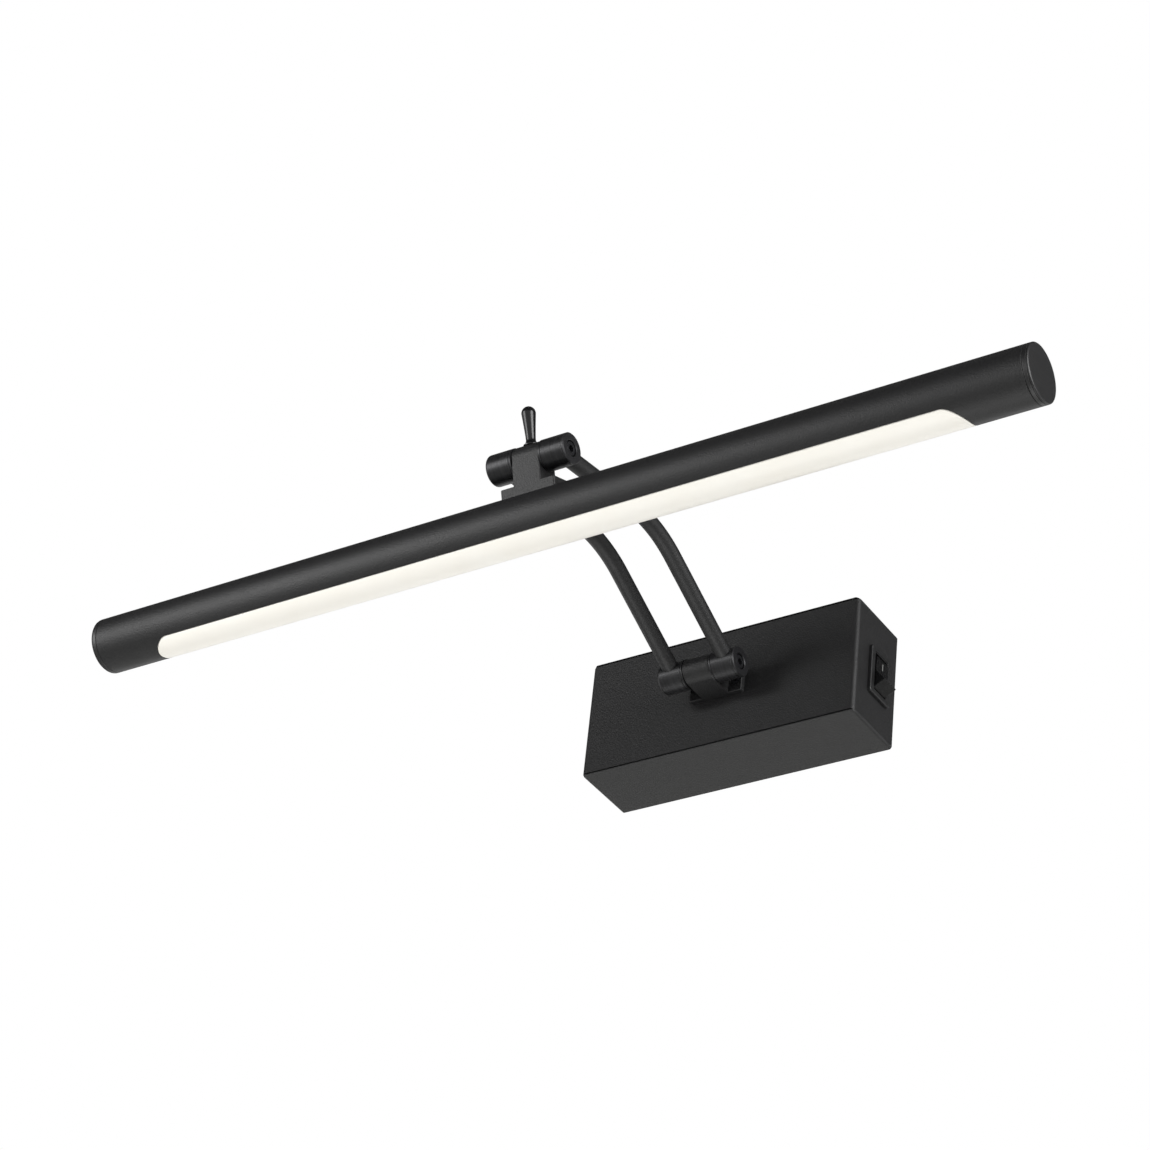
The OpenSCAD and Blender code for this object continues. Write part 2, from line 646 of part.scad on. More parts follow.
module diffuser() {
  half = slot_l / 2 + diffuser_lip;
  color([0.94, 0.93, 0.89]) at_tube() union() {
    intersection() {
      ring_x(tube_r, diffuser_ir, -half, half);
      translate([0, 0, -2 * tube_r]) linear_extrude(2 * tube_r) slot_outline(-fit);
    }
    intersection() {
      ring_x(inner_r, diffuser_ir, -half, half);
      translate([-half, -tube_r, -2 * tube_r]) cube([2 * half, 2 * tube_r, 2 * tube_r - carrier_gap]);
    }
  }
}
module nut_bar() {
  w = 2 * flange_screw_x + 8;
  color([0.75, 0.75, 0.75]) at_tube() difference() {
    intersection() {
      rod_along_x(inner_r, -w / 2, w / 2, 96);
      translate([-w / 2, -nut_bar_w / 2, inner_r - nut_bar_t]) cube([w, nut_bar_w, 2 * nut_bar_t]);
    }
    for (s = [-1, 1]) translate([s * flange_screw_x, 0, 0])
      cylinder(r = flange_screw_d / 2 + thread_fit, h = 2 * tube_r, $fn = 32);
  }
}
module led_carrier() {
  color([0.8, 0.8, 0.82]) at_tube() difference() {
    intersection() {
      rod_along_x(inner_r, -carrier_l / 2, carrier_l / 2, 96);
      translate([-carrier_l / 2, -tube_r, carrier_up]) cube([carrier_l, 2 * tube_r, carrier_t]);
    }
    for (s = [-1, 1]) translate([s * carrier_screw_x, 0, 0])
      cylinder(r = carrier_screw_d / 2 + thread_fit, h = tube_r, $fn = 24);
  }
}
module led_board() {
  color([0.95, 0.95, 0.95]) at_tube() difference() {
    translate([-board_l / 2, -board_w / 2, carrier_up - board_t]) cube([board_l, board_w, board_t]);
    for (s = [-1, 1]) translate([s * carrier_screw_x, 0, 0])
      cylinder(r = carrier_screw_d / 2 + screw_fit, h = tube_r, $fn = 24);
  }
}
module carrier_screws() {
  color([0.8, 0.8, 0.8]) at_tube() for (s = [-1, 1])
    translate([s * carrier_screw_x, 0, carrier_up - board_t]) rotate([180, 0, 0])
    pan_screw(carrier_screw_d, board_t + carrier_t - 0.3, 3.6, 1.1);
}
module leds() {
  color([0.98, 0.9, 0.55]) at_tube() for (i = [0 : led_count - 1])
    translate([(i - (led_count - 1) / 2) * led_pitch - led_l / 2, -led_w / 2, carrier_up - board_t - led_h])
    cube([led_l, led_w, led_h]);
}

// ---- the clamp lever ----
module lever_handle() {
  foot_h = 1;
  dome_h = 1.4;
  tip_r = lever_tip_d / 2;
  neck_r = lever_neck_d / 2;
  color([0.04, 0.04, 0.04]) at_upper() translate([0, 0, lever_seat]) difference() {
    union() {
      cylinder(d = lever_foot_d, h = foot_h, $fn = 64);
      translate([0, 0, foot_h - small])
        cylinder(r1 = lever_foot_d / 2, r2 = neck_r + 0.5, h = dome_h / 2, $fn = 64);
      translate([0, 0, foot_h + dome_h / 2 - 2 * small])
        cylinder(r1 = neck_r + 0.5, r2 = neck_r, h = dome_h / 2, $fn = 64);
      translate([0, 0, foot_h + dome_h - 3 * small])
        cylinder(r1 = neck_r, r2 = tip_r, h = lever_h - foot_h - dome_h - tip_r, $fn = 64);
      translate([0, 0, lever_h - tip_r - 4 * small]) sphere(tip_r, $fn = 64);
    }
    translate([0, 0, -1]) cylinder(d = stud_d - 0.5, h = 1 + stud_in, $fn = 32);
  }
}
module lever_stud() {
  bottom = bolt_r + running + pad_h + fit;
  color([0.5, 0.5, 0.5]) at_upper() {
    translate([0, 0, bottom]) cylinder(d = stud_d, h = lever_seat - bottom, $fn = 32);
    translate([0, 0, lever_seat - small])
      cylinder(d = stud_d - 0.5 - 2 * thread_fit, h = stud_in - 0.1, $fn = 32);
  }
}
module clamp_pad() {
  color([0.75, 0.6, 0.3]) at_upper() translate([0, 0, bolt_r + running])
    cylinder(d = stud_d - 0.2, h = pad_h, $fn = 32);
}

box_cover();
wall_plate();
cable_grommet();
cover_screws();
led_driver();
driver_screws();
terminal_block();
terminal_screws();
earth_screw();
driver_leads();
switch_leads();
switch_housing();
switch_terminals();
rocker();
backing_plate();
lower_knuckle();
lower_flange_screws();
lower_collar_left();
lower_collar_right();
lower_pivot_bolt();
lower_washers();
arm_rod_left();
arm_rod_right();
upper_collar_left();
upper_collar_right();
upper_pivot_bolt();
upper_washers();
upper_knuckle();
upper_flange_screws();
nut_bar();
clamp_pad();
lamp_tube();
end_cap_left();
end_cap_right();
diffuser();
led_carrier();
carrier_screws();
led_board();
leds();
lever_handle();
lever_stud();
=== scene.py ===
import math
import bmesh
import bpy
from mathutils import Matrix, Vector


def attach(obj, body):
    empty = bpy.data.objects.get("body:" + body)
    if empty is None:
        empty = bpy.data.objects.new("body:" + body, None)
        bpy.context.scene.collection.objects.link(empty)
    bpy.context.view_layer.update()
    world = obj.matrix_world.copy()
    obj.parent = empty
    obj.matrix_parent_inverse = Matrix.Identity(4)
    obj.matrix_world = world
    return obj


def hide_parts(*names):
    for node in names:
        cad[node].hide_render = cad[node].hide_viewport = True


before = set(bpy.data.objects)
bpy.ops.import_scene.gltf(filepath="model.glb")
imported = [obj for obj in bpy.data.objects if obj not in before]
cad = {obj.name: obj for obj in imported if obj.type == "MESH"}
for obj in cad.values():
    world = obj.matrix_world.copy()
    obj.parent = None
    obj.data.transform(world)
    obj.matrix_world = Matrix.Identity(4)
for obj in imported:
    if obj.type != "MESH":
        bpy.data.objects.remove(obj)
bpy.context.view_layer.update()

# ---- Wall plate, with the small zinc-plated parts that are like it ------------------------------
# Pressed steel plate that is screwed to the wall and carries the cover, the driver and the
# terminals. Zinc plating after pressing gives a cool grey with faint clouds and a soft shine.
MM = 0.001


def linear(hex_colour):
    """An sRGB hex colour as linear RGBA."""
    channels = [int(hex_colour[i:i + 2], 16) / 255 for i in (1, 3, 5)]
    return [c / 12.92 if c <= 0.04045 else ((c + 0.055) / 1.055) ** 2.4 for c in channels] + [1.0]


def add_node(tree, kind, joined=None, **settings):
    """Adds a node to a tree. A socket in joined is linked, and any other value is set."""
    made = tree.nodes.new(kind)
    for name, value in settings.items():
        setattr(made, name, value)
    for socket, value in (joined or {}).items():
        if isinstance(value, bpy.types.NodeSocket):
            tree.links.new(value, made.inputs[socket])
        else:
            made.inputs[socket].default_value = value
    return made


def finish(name, colour, roughness, metallic=0.0, ior=None):
    """A new material, its tree, its shader and the object's own coordinates."""
    made = bpy.data.materials.new(name)
    made.use_nodes = True
    tree = made.node_tree
    shader = tree.nodes["Principled BSDF"]
    shader.inputs["Base Color"].default_value = linear(colour)
    shader.inputs["Roughness"].default_value = roughness
    shader.inputs["Metallic"].default_value = metallic
    if ior:
        shader.inputs["IOR"].default_value = ior
    place = add_node(tree, "ShaderNodeTexCoord").outputs["Object"]
    return made, tree, shader, place


def vary(tree, shader, pattern, dark, light, smooth, rough):
    """Lets a pattern move the colour from dark to light and the roughness from smooth to rough."""
    tint = add_node(tree, "ShaderNodeMix", data_type="RGBA")
    tint.inputs[6].default_value = linear(dark)
    tint.inputs[7].default_value = linear(light)
    tree.links.new(pattern, tint.inputs[0])
    tree.links.new(tint.outputs[2], shader.inputs["Base Color"])
    shine = add_node(tree, "ShaderNodeMapRange", {"Value": pattern, "To Min": smooth, "To Max": rough})
    tree.links.new(shine.outputs["Result"], shader.inputs["Roughness"])


def relief(tree, shader, height, depth):
    """Raises a pattern on the surface by a depth in metres."""
    bump = add_node(tree, "ShaderNodeBump", {"Height": height, "Distance": depth, "Strength": 1.0})
    tree.links.new(bump.outputs["Normal"], shader.inputs["Normal"])


def dress(material, slot, *nodes):
    """Gives carried-over CAD nodes their material. The slot is not used."""
    for node in nodes:
        cad[node].data.materials.clear()
        cad[node].data.materials.append(material)


zinc, tree, shader, place = finish("zinc_plated_steel", "#b4b6b8", 0.38, 1.0)
# plating clouds about 6 mm across
clouds = add_node(tree, "ShaderNodeTexNoise", {"Vector": place, "Scale": 1 / (6 * MM), "Detail": 4.0})
vary(tree, shader, clouds.outputs["Fac"], "#9ea1a4", "#c8c9c6", 0.28, 0.5)
dress(zinc, "zinc_plate", "wall_plate", "driver_screws", "backing_plate", "nut_bar", "carrier_screws")

# ---- Cable grommet ------------------------------------------------------------------------------
# Moulded rubber ring that is pressed into the wall plate's hole, so that the steel edge can't cut
# the supply cable. Rubber scatters light, so it shows a dull grey bloom and no highlight.
rubber, tree, shader, place = finish("moulded_rubber", "#161616", 0.75)
bloom = add_node(tree, "ShaderNodeTexNoise", {"Vector": place, "Scale": 1 / (1.5 * MM), "Detail": 3.0})
vary(tree, shader, bloom.outputs["Fac"], "#111111", "#1f1f1f", 0.65, 0.85)
dress(rubber, "black_rubber", "cable_grommet")

# ---- LED driver, terminals and leads ------------------------------------------------------------
# The driver is a white flame-retardant plastic case, and the terminal block is cream polyamide
# with brass screws. PVC-insulated leads join them to the brass blades of the switch.
case_white, tree, shader, place = finish("moulded_polycarbonate", "#ebebe6", 0.45)
# spark-eroded mould grain of about 0.5 mm
grain = add_node(tree, "ShaderNodeTexNoise", {"Vector": place, "Scale": 1 / (0.5 * MM), "Detail": 2.0})
vary(tree, shader, grain.outputs["Fac"], "#e4e4df", "#f0f0ec", 0.4, 0.55)
relief(tree, shader, grain.outputs["Fac"], 0.02 * MM)
dress(case_white, "white_plastic", "led_driver")

cream, tree, shader, place = finish("moulded_polyamide", "#e0d8bc", 0.4)
flow = add_node(tree, "ShaderNodeTexNoise", {"Vector": place, "Scale": 1 / (3 * MM), "Detail": 3.0})
vary(tree, shader, flow.outputs["Fac"], "#d8cfb2", "#e6dfc6", 0.32, 0.48)
dress(cream, "cream_plastic", "terminal_block")

brass, tree, shader, place = finish("turned_brass", "#c8a25a", 0.28, 1.0)
wear = add_node(tree, "ShaderNodeTexNoise", {"Vector": place, "Scale": 1 / (0.8 * MM), "Detail": 4.0})
vary(tree, shader, wear.outputs["Fac"], "#b08a48", "#d8b56c", 0.2, 0.42)
dress(brass, "brass", "terminal_screws", "earth_screw", "switch_terminals", "clamp_pad")

insulation, tree, shader, place = finish("pvc_lead_insulation", "#6a3a1e", 0.4)
mottle = add_node(tree, "ShaderNodeTexNoise", {"Vector": place, "Scale": 1 / (1.2 * MM), "Detail": 2.0})
vary(tree, shader, mottle.outputs["Fac"], "#603218", "#764426", 0.35, 0.5)
dress(insulation, "lead_insulation", "driver_leads", "switch_leads")

# ---- Box cover ----------------------------------------------------------------------------------
# Folded steel cover: one strip makes the front and both sides, with bent upright corners, and
# the top and bottom are let in, so that a fine joint runs round them. Black powder coat over all.
BOX_W, BOX_H, BOX_D = 120 * MM, 51 * MM, 30.4 * MM
COVER_T = 1.5 * MM
CORNER_R = 2.0 * MM
EDGE_R = 1.2 * MM
SWITCH_Y, SWITCH_Z = -13.5 * MM, -1.0 * MM
HOUSING_W, HOUSING_H = 12.5 * MM, 18.8 * MM
COVER_SCREW_X, COVER_SCREW_Y = 42 * MM, -6.75 * MM
FLANGE_SCREW_X = 8.7 * MM
FLANGE_HOLE_R, COVER_HOLE_R = 1.45 * MM, 1.7 * MM
WINDOW_GAP, HOLE_L = 0.2 * MM, 6 * MM
# how far a cut reaches past the face that it opens
PAST = 5 * MM

powder, tree, shader, place = finish("black_powder_coat", "#131314", 0.48)
shader.inputs["Specular IOR Level"].default_value = 0.42
# the cured powder's grain is about 0.25 mm and is drawn at 0.55 mm to show
orange_peel = add_node(tree, "ShaderNodeTexNoise",
                       {"Vector": place, "Scale": 1 / (0.55 * MM), "Detail": 2.0, "Roughness": 0.6})
speck = add_node(tree, "ShaderNodeTexNoise", {"Vector": place, "Scale": 1 / (9 * MM), "Detail": 2.0})
mixed = add_node(tree, "ShaderNodeMath", {0: orange_peel.outputs["Fac"], 1: 0.75}, operation="MULTIPLY")
summed = add_node(tree, "ShaderNodeMath", {0: speck.outputs["Fac"], 1: 0.25, 2: mixed.outputs[0]},
                  operation="MULTIPLY_ADD")
vary(tree, shader, summed.outputs[0], "#0c0c0d", "#1a1a1b", 0.4, 0.56)
relief(tree, shader, orange_peel.outputs["Fac"], 0.16 * MM)


def skin(rings):
    """A closed skin over rings of equal length, with a flat face on the first and the last."""
    made = bmesh.new()
    rows = [[made.verts.new(point) for point in ring] for ring in rings]
    count = len(rows[0])
    for low, high in zip(rows, rows[1:]):
        for i in range(count):
            j = (i + 1) % count
            made.faces.new((low[i], low[j], high[j], high[i]))
    made.faces.new(rows[0][::-1])
    made.faces.new(rows[-1])
    bmesh.ops.recalc_face_normals(made, faces=made.faces)
    return made


def to_mesh(made, name, placing=None):
    """Ends a bmesh as a mesh: merges doubles, turns faces outwards and places it."""
    bmesh.ops.remove_doubles(made, verts=made.verts, dist=0.2e-6)
    bmesh.ops.recalc_face_normals(made, faces=made.faces)
    if placing is not None:
        made.transform(placing)
    mesh = bpy.data.meshes.new(name)
    made.to_mesh(mesh)
    made.free()
    return mesh


def put(name, data):
    """A new object in the scene."""
    made = bpy.data.objects.new(name, data)
    bpy.context.scene.collection.objects.link(made)
    return made


def baked(holder):
    """A holder's mesh after its modifiers, as a new plain mesh. The holder is removed."""
    graph = bpy.context.evaluated_depsgraph_get()
    done = bpy.data.meshes.new_from_object(holder.evaluated_get(graph))
    bpy.data.objects.remove(holder)
    return done


def evaluated(mesh, *modifiers):
    """The mesh after modifiers, each given as (kind, settings), as a new plain mesh."""
    holder = put("holder", mesh)
    for kind, settings in modifiers:
        modifier = holder.modifiers.new(kind, kind)
        for name, value in settings.items():
            setattr(modifier, name, value)
    return baked(holder)


def combine(mesh, operation, *tools):
    """The exact union, difference or intersection of a mesh and others, one after the other."""
    for tool in tools:
        other = put("tool", tool)
        mesh = evaluated(mesh, ("BOOLEAN", {"operation": operation, "solver": "EXACT", "object": other}))
        bpy.data.objects.remove(other)
    return mesh


def soften(mesh, width, segments=2, angle=40):
    """Rounds the edges that are sharper than an angle."""
    return evaluated(mesh, ("BEVEL", {"width": width, "segments": segments, "limit_method": "ANGLE",
                                      "angle_limit": math.radians(angle), "use_clamp_overlap": True}))


def show(name, mesh, material, body, nodes, sharp=32):
    """Shows a mesh as a piece of a body, in place of the CAD nodes that it is the look of."""
    made = bmesh.new()
    made.from_mesh(mesh)
    bmesh.ops.remove_doubles(made, verts=made.verts, dist=0.5e-6)
    bmesh.ops.dissolve_degenerate(made, edges=made.edges, dist=0.5e-6)
    made.to_mesh(mesh)
    made.free()
    mesh.materials.clear()
    mesh.materials.append(material)
    for face in mesh.polygons:
        face.use_smooth = True
        face.material_index = 0
    mesh.set_sharp_from_angle(angle=math.radians(sharp))
    mesh = evaluated(mesh, ("WEIGHTED_NORMAL", {"weight": 100, "keep_sharp": True}))
    mesh.name = name
    piece = put(name, mesh)
    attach(piece, body)
    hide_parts(*nodes)
    return piece


def block(low, high):
    """A plain block between two corners, used to cut."""
    made = bmesh.new()
    bmesh.ops.create_cube(made, size=1)
    for v in made.verts:
        v.co = Vector([(a + b) / 2 + c * (b - a) for a, b, c in zip(low, high, v.co)])
    return to_mesh(made, "block")


def turned(profile, steps, placing=None):
    """A solid turned about its own Z from (radius, height) pairs; radius 0 ends at the axis."""
    made = bmesh.new()
    rows = []
    for radius, height in profile:
        if radius <= 0:
            rows.append([made.verts.new((0, 0, height))])
        else:
            angles = [2 * math.pi * k / steps for k in range(steps)]
            rows.append([made.verts.new((radius * math.cos(a), radius * math.sin(a), height))
                         for a in angles])
    for low, high in zip(rows, rows[1:]):
        for i in range(steps):
            j = (i + 1) % steps
            corners = [low[i % len(low)], low[j % len(low)], high[j % len(high)], high[i % len(high)]]
            made.faces.new(list(dict.fromkeys(corners)))
    return to_mesh(made, "turned", placing)


def pin(radius, length, placing, steps=48):
    """A plain round pin that a hole is cut with, from its own origin along its Z."""
    return turned([(0, 0), (radius, 0), (radius, length), (0, length)], steps, placing)


def cover_plan(side_inset, front_inset, height):
    """The cover's outline from above, with its upright front corners bent."""
    w, d, r, steps = BOX_W / 2, BOX_D, CORNER_R, 8
    points = [(side_inset - w, 0, height)]
    for centre_x, start in ((-w + r, 180), (w - r, 270)):
        for k in range(steps + 1):
            a = math.radians(start + 90 * k / steps)
            points.append((centre_x + (r - side_inset) * math.cos(a),
                           -d + r + (r - front_inset) * math.sin(a), height))
    return points + [(w - side_inset, 0, height)]


half_h = BOX_H / 2
# The sides roll over to the top and bottom, and the front ends in a crisp fold with a fine joint
# behind it: heights from the edge, and how far the front stands back there, in mm.
fold = [(0, 0.16), (0.05, 0.03), (0.14, 0), (0.3, 0), (0.36, 0.7), (0.84, 0.7), (0.9, 0), (1.05, 0),
        (1.2, 0)]
rings = []
for up, front in fold:
    side = EDGE_R - math.sqrt(max(0, EDGE_R ** 2 - (EDGE_R - up * MM) ** 2))
    rings.append((side, front * MM, up * MM))
rings = [cover_plan(side, front, up - half_h) for side, front, up in rings] + [
    cover_plan(side, front, half_h - up) for side, front, up in reversed(rings)]
cover = to_mesh(skin(rings), "cover")
hollow = block((-BOX_W / 2 + COVER_T, -BOX_D + COVER_T, -half_h + COVER_T),
               (BOX_W / 2 - COVER_T, PAST, half_h - COVER_T))
window_y, window_z = HOUSING_W / 2 + WINDOW_GAP, HOUSING_H / 2 + WINDOW_GAP
window = block((BOX_W / 2 - PAST, SWITCH_Y - window_y, SWITCH_Z - window_z),
               (BOX_W / 2 + PAST, SWITCH_Y + window_y, SWITCH_Z + window_z))
TO_ROOM = Matrix.Rotation(math.radians(90), 4, "X")
holes = []
for side in (-1, 1):
    in_front = Matrix.Translation((side * FLANGE_SCREW_X, -27 * MM, 0)) @ TO_ROOM
    on_top = Matrix.Translation((side * COVER_SCREW_X, COVER_SCREW_Y, half_h - HOLE_L / 2))
    holes += [pin(FLANGE_HOLE_R, HOLE_L, in_front), pin(COVER_HOLE_R, HOLE_L, on_top)]
cover = combine(cover, "DIFFERENCE", hollow, window, *holes)
show("cover", cover, powder, "wall_unit", ["box_cover"], 25)

# ---- Cover screws and the knuckles' flange screws -----------------------------------------------
# Black-oxide steel screws with hexagon sockets: two button heads hold the cover to the plate's
# tabs, and two countersunk ones hold each knuckle. Black oxide over oil gives a dark, even sheen.
black_steel, tree, shader, place = finish("black_oxide_steel", "#141416", 0.36, 0.3)
oxide = add_node(tree, "ShaderNodeTexNoise", {"Vector": place, "Scale": 1 / (0.6 * MM), "Detail": 3.0})
vary(tree, shader, oxide.outputs["Fac"], "#0f0f11", "#222225", 0.28, 0.48)


def socket_screw(outer, across, depth, steps=36):
    """A screw from its side profile, which ends at the head's face, with a hexagon socket."""
    rows = [[(r * math.cos(2 * math.pi * k / steps), r * math.sin(2 * math.pi * k / steps), z)
             for k in range(steps)] for r, z in outer]
    top = outer[-1][1]
    for size, z in ((across / 2, top), (across / 2, top - depth)):
        ring = []
        for k in range(steps):
            turn = 2 * math.pi * k / steps
            within = (turn % (math.pi / 3)) - math.pi / 6
            reach = size * math.cos(math.pi / 6) / math.cos(within)
            ring.append((reach * math.cos(turn), reach * math.sin(turn), z))
        rows.append(ring)
    return to_mesh(skin(rows), "screw")


def new_tree(name, **sockets):
    """A geometry tree that takes a mesh and more named inputs, and the outputs of its input node."""
    tree = bpy.data.node_groups.new(name, "GeometryNodeTree")
    for label, kind in {"Geometry": "Geometry", **sockets}.items():
        tree.interface.new_socket(label, in_out="INPUT", socket_type="NodeSocket" + kind)
    tree.interface.new_socket("Geometry", in_out="OUTPUT", socket_type="NodeSocketGeometry")
    return tree, add_node(tree, "NodeGroupInput").outputs


def end_tree(tree, instances, material):
    """Makes a tree's instances real, gives them their material and ends the tree."""
    real = add_node(tree, "GeometryNodeRealizeInstances", {"Geometry": instances})
    painted = add_node(tree, "GeometryNodeSetMaterial",
                       {"Geometry": real.outputs["Geometry"], "Material": material})
    add_node(tree, "NodeGroupOutput", {"Geometry": painted.outputs["Geometry"]})


def grown(mesh, tree, **values):
    """What a tree makes of a mesh and its other inputs, as one plain mesh."""
    holder = put(tree.name, mesh)
    modifier = holder.modifiers.new(tree.name, "NODES")
    modifier.node_group = tree
    for item in tree.interface.items_tree:
        if item.item_type == "SOCKET" and item.in_out == "INPUT" and item.name in values:
            modifier[item.identifier] = values[item.name]
    return baked(holder)


# the tree that sets copies of a mesh in a straight row
row_tree, given = new_tree("row", Count="Int", First="Vector", Step="Vector", Turn="Rotation",
                           Material="Material")
line = add_node(row_tree, "GeometryNodeMeshLine",
                {"Count": given["Count"], "Start Location": given["First"], "Offset": given["Step"]})
each = add_node(row_tree, "GeometryNodeInstanceOnPoints",
                {"Points": line.outputs["Mesh"], "Instance": given["Geometry"], "Rotation": given["Turn"]})
end_tree(row_tree, each.outputs["Instances"], given["Material"])


def in_a_row(mesh, count, first, step, turn, material):
    """Copies of a mesh in a row, made by the tree, as one plain mesh."""
    return grown(mesh, row_tree, Count=count, First=first, Step=step, Turn=turn, Material=material)


button = [(1.5, -6), (1.5, 0), (2.6, 0), (2.75, 0.15), (2.72, 0.6), (2.5, 1.1), (2.1, 1.5), (1.6, 1.7),
          (1.15, 1.7)]
button = socket_screw([(r * MM, z * MM) for r, z in button], 2 * MM, 1 * MM)
row = in_a_row(button, 2, (-COVER_SCREW_X, COVER_SCREW_Y, half_h), (2 * COVER_SCREW_X, 0, 0), (0, 0, 0),
               black_steel)
show("cover_screw_pair", row, black_steel, "wall_unit", ["cover_screws"])

# ---- Switch -------------------------------------------------------------------------------------
# Snap-in rocker switch: a satin moulded housing with a raised frame and a glossy rocker that
# tilts on two pins. Two slanting faces meet in a shallow valley, and one carries a printed line.
BEZEL_H, BEZEL_W, BEZEL_T = 21 * MM, 15 * MM, 1.5 * MM
OPEN_H, OPEN_W = 16.4 * MM, 9.2 * MM
PIVOT_X = BOX_W / 2 - 1 * MM

satin_abs, tree, shader, place = finish("satin_moulded_abs", "#101011", 0.42)
fine = add_node(tree, "ShaderNodeTexNoise", {"Vector": place, "Scale": 1 / (0.45 * MM), "Detail": 2.0})
vary(tree, shader, fine.outputs["Fac"], "#0b0b0c", "#161617", 0.36, 0.52)
relief(tree, shader, fine.outputs["Fac"], 0.05 * MM)


def rounded(length, width, radius, steps=6):
    """The corner-rounded outline of a length by width rectangle, in its own plane."""
    radius = max(radius, 0.02 * MM)
    points = []
    for quarter, (sx, sy) in enumerate(((1, 1), (-1, 1), (-1, -1), (1, -1))):
        for k in range(steps + 1):
            a = math.radians(90 * quarter + 90 * k / steps)
            points.append((sx * (length / 2 - radius) + radius * math.cos(a),
                           sy * (width / 2 - radius) + radius * math.sin(a)))
    return points


def pad(outline, low, high, edge, base_edge=0.0, steps=3):
    """A flat-ended solid on an outline that takes an inset, with rounded edges at both ends."""
    rings = []
    for k in range(steps + 1):
        t = math.radians(90 * k / steps)
        z = low + base_edge * (1 - math.cos(t))
        rings.append([(x, y, z) for x, y in outline(base_edge * (1 - math.sin(t)))])
    for k in range(steps + 1):
        t = math.radians(90 * k / steps)
        z = high - edge * (1 - math.sin(t))
        rings.append([(x, y, z) for x, y in outline(edge * (1 - math.cos(t)))])
    return skin(rings)


# its own Z points out of the box's right side, its X is up
TO_RIGHT = Matrix(((0, 0, 1, BOX_W / 2), (0, 1, 0, SWITCH_Y), (-1, 0, 0, SWITCH_Z), (0, 0, 0, 1)))
bezel = pad(lambda i: rounded(BEZEL_H - 2 * i, BEZEL_W - 2 * i, 1.2 * MM - i), 0, BEZEL_T, 0.45 * MM)
bezel = to_mesh(bezel, "bezel", TO_RIGHT)
step_cut = pad(lambda i: rounded(OPEN_H + 0.7 * MM, OPEN_W + 0.7 * MM, 0.5 * MM),
               BEZEL_T - 0.3 * MM, BEZEL_T + 1 * MM, 0)
step_cut = to_mesh(step_cut, "step", TO_RIGHT)
HOUSING_D, WELL_D = 13 * MM, 6 * MM
body_low = (BOX_W / 2 - HOUSING_D, SWITCH_Y - HOUSING_W / 2, SWITCH_Z - HOUSING_H / 2)
body_high = (BOX_W / 2 + 0.1 * MM, SWITCH_Y + HOUSING_W / 2, SWITCH_Z + HOUSING_H / 2)
well_low = (BOX_W / 2 - WELL_D, SWITCH_Y - OPEN_W / 2, SWITCH_Z - OPEN_H / 2)
well_high = (BOX_W / 2 + 4 * MM, SWITCH_Y + OPEN_W / 2, SWITCH_Z + OPEN_H / 2)
PIN_HOLE_R, PIN_HOLE_L = 1.05 * MM, 11.2 * MM
pin_hole = pin(PIN_HOLE_R, PIN_HOLE_L,
               Matrix.Translation((PIVOT_X, SWITCH_Y + PIN_HOLE_L / 2, SWITCH_Z)) @ TO_ROOM)
housing = combine(bezel, "UNION", block(body_low, body_high))
housing = combine(housing, "DIFFERENCE", block(well_low, well_high), step_cut, pin_hole)
housing = soften(housing, 0.12 * MM, 1, 50)
show("switch_frame", housing, satin_abs, "wall_unit", ["switch_housing"])

gloss_abs, tree, shader, place = finish("glossy_moulded_abs", "#0a0a0b", 0.24)
shader.inputs["Specular IOR Level"].default_value = 0.32
smear = add_node(tree, "ShaderNodeTexNoise", {"Vector": place, "Scale": 1 / (4 * MM), "Detail": 3.0})
vary(tree, shader, smear.outputs["Fac"], "#080809", "#0f0f10", 0.18, 0.32)

ROCKER_W, TILT = 8.8 * MM, 12
# the rocker's side as (up, out) from its pins in mm: back, upper end and lip, valley, and the lower
# lip, which stands out further, and end
ROCKER_SIDE = [(-3, -3.4), (3, -3.4), (7.9, 0), (5.6, 4.22), (-0.75, 2.9), (-6.2, 5.72), (-7.9, 0)]


def shrunk(points, inset):
    """An outline moved inwards by an inset, from points that run anticlockwise."""
    moved = []
    for i, here in enumerate(points):
        before, after = Vector(points[i - 1]), Vector(points[(i + 1) % len(points)])
        a = (Vector(here) - before).normalized()
        b = (after - Vector(here)).normalized()
        inward = (Vector((-a.y, a.x)) + Vector((-b.y, b.x))).normalized()
        moved.append(tuple(Vector(here) + inward * inset / max(0.4, inward.dot(Vector((-a.y, a.x))))))
    return moved


def eased(points, radius, steps=5):
    """An outline whose corners are eased over a length on both sides."""
    made = []
    for i, here in enumerate(points):
        here = Vector(here)
        start = here + (Vector(points[i - 1]) - here).normalized() * radius
        end = here + (Vector(points[(i + 1) % len(points)]) - here).normalized() * radius
        for k in range(steps + 1):
            f = k / steps
            made.append(tuple((1 - f) ** 2 * start + 2 * f * (1 - f) * here + f * f * end))
    return made


def rocker_side(inset):
    """The rocker's side outline with eased corners."""
    return eased(shrunk([(u * MM, o * MM) for u, o in ROCKER_SIDE], inset), 0.4 * MM)


tilted = Matrix.Rotation(math.radians(-TILT), 4, "Y")
rocker_at = Matrix.Translation((PIVOT_X, SWITCH_Y, SWITCH_Z)) @ tilted
